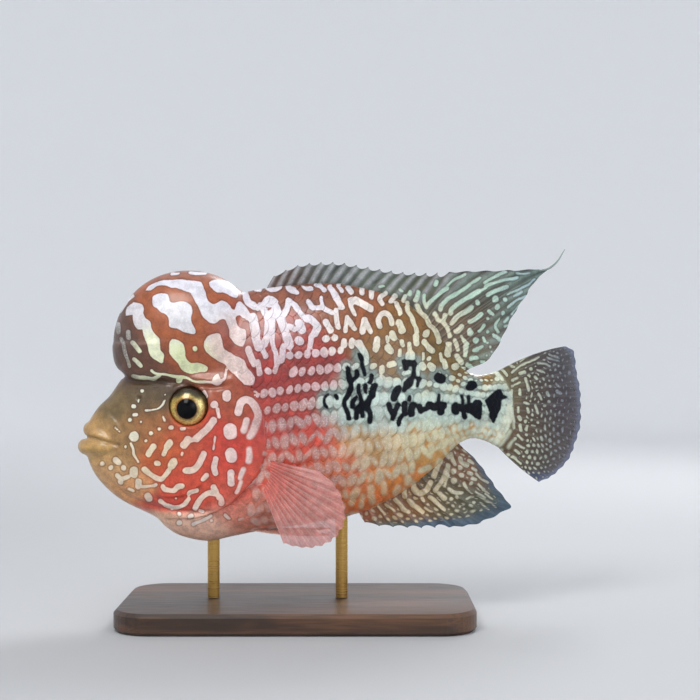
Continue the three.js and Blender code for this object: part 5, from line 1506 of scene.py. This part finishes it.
class Nodes:
    """Makes the nodes of one material."""

    def __init__(self, name):
        self.material = bpy.data.materials.new(name)
        self.material.use_nodes = True
        self.tree = self.material.node_tree
        self.shader = self.tree.nodes["Principled BSDF"]
        self.place = self.add("ShaderNodeTexCoord").outputs["Object"]

    def give(self, socket, value):
        """A link from another node's output, or a constant set on the socket itself."""
        if isinstance(value, bpy.types.NodeSocket):
            self.tree.links.new(value, socket)
        else:
            socket.default_value = value

    def add(self, kind, inputs=(), **settings):
        node = self.tree.nodes.new(kind)
        for name, value in settings.items():
            setattr(node, name, value)
        for key, value in dict(inputs).items():
            self.give(node.inputs[key], value)
        return node

    def fact(self, name, kind="Fac"):
        return self.add("ShaderNodeAttribute", attribute_name=name).outputs[kind]

    def noise(self, scale, detail=3.0, stretch=(1, 1, 1)):
        place = self.add("ShaderNodeMapping", {"Vector": self.place, "Scale": stretch}).outputs[0]
        inputs = {"Vector": place, "Scale": scale, "Detail": detail}
        return self.add("ShaderNodeTexNoise", inputs).outputs["Fac"]

    def spots(self, scale):
        node = self.add("ShaderNodeTexVoronoi", {"Vector": self.place, "Scale": scale, "Randomness": 1.0})
        return node.outputs["Distance"]

    def maths(self, operation, a, b=0.0, c=0.0):
        return self.add("ShaderNodeMath", {0: a, 1: b, 2: c}, operation=operation).outputs[0]

    def ranged(self, value, low, high, to_low=0.0, to_high=1.0):
        inputs = {"Value": value, "From Min": low, "From Max": high, "To Min": to_low, "To Max": to_high}
        return self.add("ShaderNodeMapRange", inputs, interpolation_type="SMOOTHSTEP").outputs[0]

    def mix(self, share, a, b, blend="MIX"):
        inputs = {0: share, 6: a, 7: b}
        return self.add("ShaderNodeMix", inputs, data_type="RGBA", blend_type=blend).outputs[2]

    def set(self, **values):
        """Inputs of the shader, each name with _ for a space."""
        for name, value in values.items():
            self.give(self.shader.inputs[name.replace("_", " ")], value)

    def bumped(self, height, distance, strength=1.0, under=None):
        inputs = {"Height": height, "Distance": distance, "Strength": strength}
        if under is not None:
            inputs["Normal"] = under
        return self.add("ShaderNodeBump", inputs).outputs[0]


def srgb(*colour):
    return (*linear(colour).tolist(), 1.0)


def marked(make):
    """The painted colour, how far a point is inside a black mark, and fine and coarse noise."""
    fine = make.noise(1400.0, 3.0)
    coarse = make.noise(320.0, 2.0)
    pearl = make.maths("MULTIPLY_ADD", make.maths("SUBTRACT", coarse, 0.5), 0.8, make.fact("pearl"))
    pearl = make.maths("MULTIPLY_ADD", make.maths("SUBTRACT", fine, 0.5), 0.3, pearl)
    soft = make.fact("soft")
    inside = make.ranged(make.maths("DIVIDE", pearl, soft), 1.0, -1.0)
    ink = make.maths("MULTIPLY_ADD", make.maths("SUBTRACT", coarse, 0.5), 1.2, make.fact("ink"))
    inked = make.ranged(ink, 0.55, -0.15)
    mottled = make.ranged(coarse, 0.25, 0.75, 0.78, 1.2)
    grain = make.ranged(fine, 0.3, 0.7, 0.9, 1.1)
    ground = make.mix(1.0, make.fact("ground", "Color"), make.maths("MULTIPLY", mottled, grain), "MULTIPLY")
    specks = make.ranged(make.spots(2600.0), 0.16, 0.3, 1.0, 0.0)
    ground = make.mix(make.maths("MULTIPLY", specks, 0.35), ground, srgb(48, 34, 30))
    from_rim = make.maths("ABSOLUTE", make.maths("SUBTRACT", pearl, 0.35))
    edge = make.ranged(from_rim, 0.45, 0.0, 0.0, 0.4)
    edge = make.maths("MULTIPLY", edge, make.ranged(soft, 0.2, 0.6, 1.0, 0.2))
    ground = make.mix(edge, ground, srgb(50, 30, 30))
    cloudy = make.ranged(coarse, 0.35, 0.65, 0.84, 1.05)
    silver = make.mix(1.0, make.fact("tint", "Color"), cloudy, "MULTIPLY")
    # Painted glints: fine noise lightens flecks of the pearly marks almost to white
    pearls = make.mix(make.ranged(fine, 0.5, 0.64, 0.0, 0.22), silver, srgb(250, 250, 255))
    colour = make.mix(inside, ground, pearls)
    colour = make.mix(inked, colour, srgb(9, 13, 22))
    return colour, inked, fine, coarse


def skin_material():
    make = Nodes("skin")
    colour, inked, fine, coarse = marked(make)
    low = make.bumped(coarse, 0.0003, 0.5)
    make.set(
        Base_Color=colour, Roughness=make.ranged(fine, 0.3, 0.7, 0.3, 0.44),
        Specular_IOR_Level=make.ranged(inked, 0.0, 1.0, 0.5, 0.1),
        Subsurface_Weight=0.06, Subsurface_Radius=(0.0016, 0.0007, 0.0004),
        Coat_Weight=make.ranged(inked, 0.0, 1.0, 0.2, 0.04), Coat_Roughness=0.14,
        Normal=make.bumped(fine, 0.00008, 0.6, low),
    )
    return make.material


def fin_material(name, clear):
    """Membrane that is clear where it is thin, by the share given, over jointed rays."""
    make = Nodes(name)
    colour, _, fine, _ = marked(make)
    crest = make.fact("crest")
    pale = make.mix(0.5, colour, srgb(190, 196, 190))
    joints = make.maths("SINE", make.maths("MULTIPLY", make.fact("along"), 7.5))
    low = make.bumped(make.maths("MULTIPLY", joints, crest), 0.00012, 0.6)
    make.set(
        Base_Color=make.mix(make.maths("MULTIPLY", crest, 0.3), colour, pale),
        Roughness=make.ranged(fine, 0.3, 0.7, 0.34, 0.5),
        Subsurface_Weight=0.1, Subsurface_Radius=(0.001, 0.0006, 0.0005),
        Coat_Weight=0.2, Coat_Roughness=0.2,
        Alpha=make.ranged(make.fact("thin"), 0.0, 1.0, 1.0, 1.0 - clear),
        Normal=make.bumped(fine, 0.00006, 0.6, low),
    )
    return make.material


def eye_material():
    """A polished ball, glossier over the iris than over the deep pupil."""
    make = Nodes("eye")
    iris = make.fact("iris")
    bright = make.ranged(make.noise(1500.0, 4.0), 0.3, 0.7, 0.7, 1.25)
    make.set(
        Base_Color=make.mix(1.0, make.fact("ground", "Color"), bright, "MULTIPLY"),
        Metallic=make.maths("MULTIPLY", iris, 0.35), Roughness=0.28,
        Specular_IOR_Level=make.ranged(iris, 0.0, 1.0, 0.05, 0.3),
        Coat_Weight=make.ranged(iris, 0.0, 1.0, 0.16, 0.7), Coat_Roughness=0.02,
    )
    return make.material


def wood_material():
    """Dark oiled walnut, its grain along the plate."""
    make = Nodes("stand_wood")
    place = make.add("ShaderNodeMapping", {"Vector": make.place, "Scale": (6, 60, 60)}).outputs[0]
    grain = make.add("ShaderNodeTexNoise", {"Vector": place, "Scale": 1.6, "Detail": 5.0, "Distortion": 1.2})
    bands = make.ranged(grain.outputs["Fac"], 0.35, 0.68)
    fine = make.noise(60.0, 4.0, (1, 24, 24))
    patches = make.noise(9.0, 2.0, (1, 2, 2))
    colour = make.mix(bands, srgb(44, 29, 20), srgb(94, 63, 42))
    colour = make.mix(make.ranged(fine, 0.35, 0.6, 0.55, 0.0), colour, srgb(28, 18, 13))
    make.set(
        Base_Color=make.mix(make.ranged(patches, 0.4, 0.7, 0.0, 0.25), colour, srgb(112, 76, 50)),
        Roughness=make.ranged(fine, 0.3, 0.7, 0.36, 0.5), Coat_Weight=0.15, Coat_Roughness=0.25,
        Normal=make.bumped(fine, 0.00015, 0.5),
    )
    return make.material


def brass_material():
    """Brushed brass, the marks of the brush round the rod."""
    make = Nodes("stand_brass")
    brushed = make.noise(40.0, 3.0, (1, 1, 60))
    make.set(
        Base_Color=make.mix(brushed, srgb(168, 128, 66), srgb(206, 168, 98)), Metallic=1.0,
        Roughness=make.ranged(brushed, 0.3, 0.7, 0.24, 0.42), Normal=make.bumped(brushed, 0.00005, 0.4),
    )
    return make.material


def dress_stand():
    wood, brass = wood_material(), brass_material()
    for name, material in (("stand_base", wood), ("stand_rod_front", brass), ("stand_rod_rear", brass)):
        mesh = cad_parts[name].data
        mesh.materials.clear()
        mesh.materials.append(material)
        if name != "stand_base":
            smooth_shaded(mesh)


# The studio, in metres

FLOOR = dict(flat=1.3, curve=1.2, wall=3.0, sides=96, near=(176, 178, 181), far=(247, 248, 250))
SENSOR = 36

# Each light's place, aim, size, watts and colour
LIGHTS = {
    "key": ((-0.3, -0.6, 0.8), (0, 0, 0.09), 0.4, 5.4, (1.0, 0.98, 0.95)),
    "fill": ((0.7, -0.8, 0.35), (0, 0, 0.09), 0.6, 2.5, (0.95, 0.97, 1.0)),
    "rim": ((0.3, 0.6, 0.7), (0, 0, 0.1), 0.4, 5, (1, 1, 1)),
}


def add_camera():
    data = bpy.data.cameras.new("camera")
    data.sensor_width = SENSOR
    data.lens = SENSOR * -CAMERA[1] / VIEW_WIDTH
    data.clip_start = 0.01
    made = new_object("camera", data)
    made.location = ORIGIN + CAMERA * MM
    made.rotation_euler = (math.pi / 2, 0, 0)
    bpy.context.scene.camera = made


def add_light(name, place, aim, size, power, colour):
    data = bpy.data.lights.new(name, "AREA")
    data.size = size
    data.energy = power
    data.color = colour
    made = new_object(name, data)
    made.location = place
    x, y, z = np.array(aim) - np.array(place)
    made.rotation_euler = (math.atan2(math.hypot(x, y), -z), 0, math.atan2(y, x) - math.pi / 2)


def add_floor():
    """A pale floor whose far edge curves up all round, so that no horizon shows."""
    bend = np.linspace(0, math.pi / 2, 24)
    edge = FLOOR["flat"] + FLOOR["curve"]
    reach = np.concatenate([[0.4, 0.9], FLOOR["flat"] + FLOOR["curve"] * np.sin(bend), [edge]])
    height = np.concatenate([[0, 0], FLOOR["curve"] * (1 - np.cos(bend)), [FLOOR["wall"]]])
    turn = np.linspace(0, 2 * math.pi, FLOOR["sides"], endpoint=False)
    level = np.outer(height, np.ones(len(turn)))
    rings = np.stack([np.outer(reach, np.cos(turn)), np.outer(reach, np.sin(turn)), level], -1)
    points = np.vstack([[[0, 0, 0]], rings.reshape(-1, 3)])
    at = np.arange(1, len(points)).reshape(-1, FLOOR["sides"])
    after = np.roll(at, -1, axis=1)
    faces = np.stack([at[:-1], at[1:], after[1:], after[:-1]], -1).reshape(-1, 4).tolist()
    faces += [(0, int(a), int(b)) for a, b in zip(at[0], after[0])]
    mesh = mesh_of("floor", points, faces)
    smooth_shaded(mesh)
    made = new_object("floor", mesh)
    make = Nodes("floor")
    away = make.add("ShaderNodeVectorMath", {0: make.place}, operation="LENGTH").outputs["Value"]
    colour = make.mix(make.ranged(away, 0.3, 1.6), srgb(*FLOOR["near"]), srgb(*FLOOR["far"]))
    make.set(Base_Color=colour, Roughness=0.85)
    mesh.materials.append(make.material)


def add_world():
    world = bpy.data.worlds.new("world")
    world.use_nodes = True
    background = world.node_tree.nodes["Background"]
    background.inputs["Color"].default_value = (0.78, 0.8, 0.83, 1)
    background.inputs["Strength"].default_value = 0.95
    bpy.context.scene.world = world
    bpy.context.scene.view_settings.view_transform = "Standard"


skin_paint = skin_material()
make_skin(skin_paint)
for side, name in ((-1, "scales_left"), (1, "scales_right")):
    make_scales(name, side, skin_paint)

fin_paint = fin_material("fin", 0.5)
pale_paint = fin_material("pale_fin", 0.5)
sheet = fin_sheet(median_rays(DORSAL), DORSAL["bow"], DORSAL["spines"], 84, notch=(0.14, 0.03))
make_fin("dorsal_fin", sheet, dorsal_marks, fin_paint, tube_mesh(FILAMENT, FILAMENT_RADII))
sheet = fin_sheet(median_rays(ANAL), ANAL["bow"], ANAL["spines"], 70, notch=(0.1, 0.03))
make_fin("anal_fin", sheet, anal_marks, fin_paint)
make_fin("caudal_fin", fin_sheet(caudal_rays(), 0.04, 0, 104), caudal_marks, fin_paint)
for side, name in ((-1, "left"), (1, "right")):
    sheet = fin_sheet(pectoral_rays(side), 0.06, 0, 70, thick=0.26, ridge=0.26, wave=0.25)
    make_fin(f"pectoral_fin_{name}", sheet, pectoral_marks, pale_paint)
    sheet = fin_sheet(pelvic_rays(side), 0.045, 0, 60, thick=0.3, ridge=0.3, wave=0.2)
    make_fin(f"pelvic_fin_{name}", sheet, pelvic_marks, pale_paint)

eye_paint = eye_material()
make_eye("eye_left", -1, eye_paint)
make_eye("eye_right", 1, eye_paint)
dress_stand()

add_camera()
add_floor()
for name, light in LIGHTS.items():
    add_light(name, *light)
add_world()
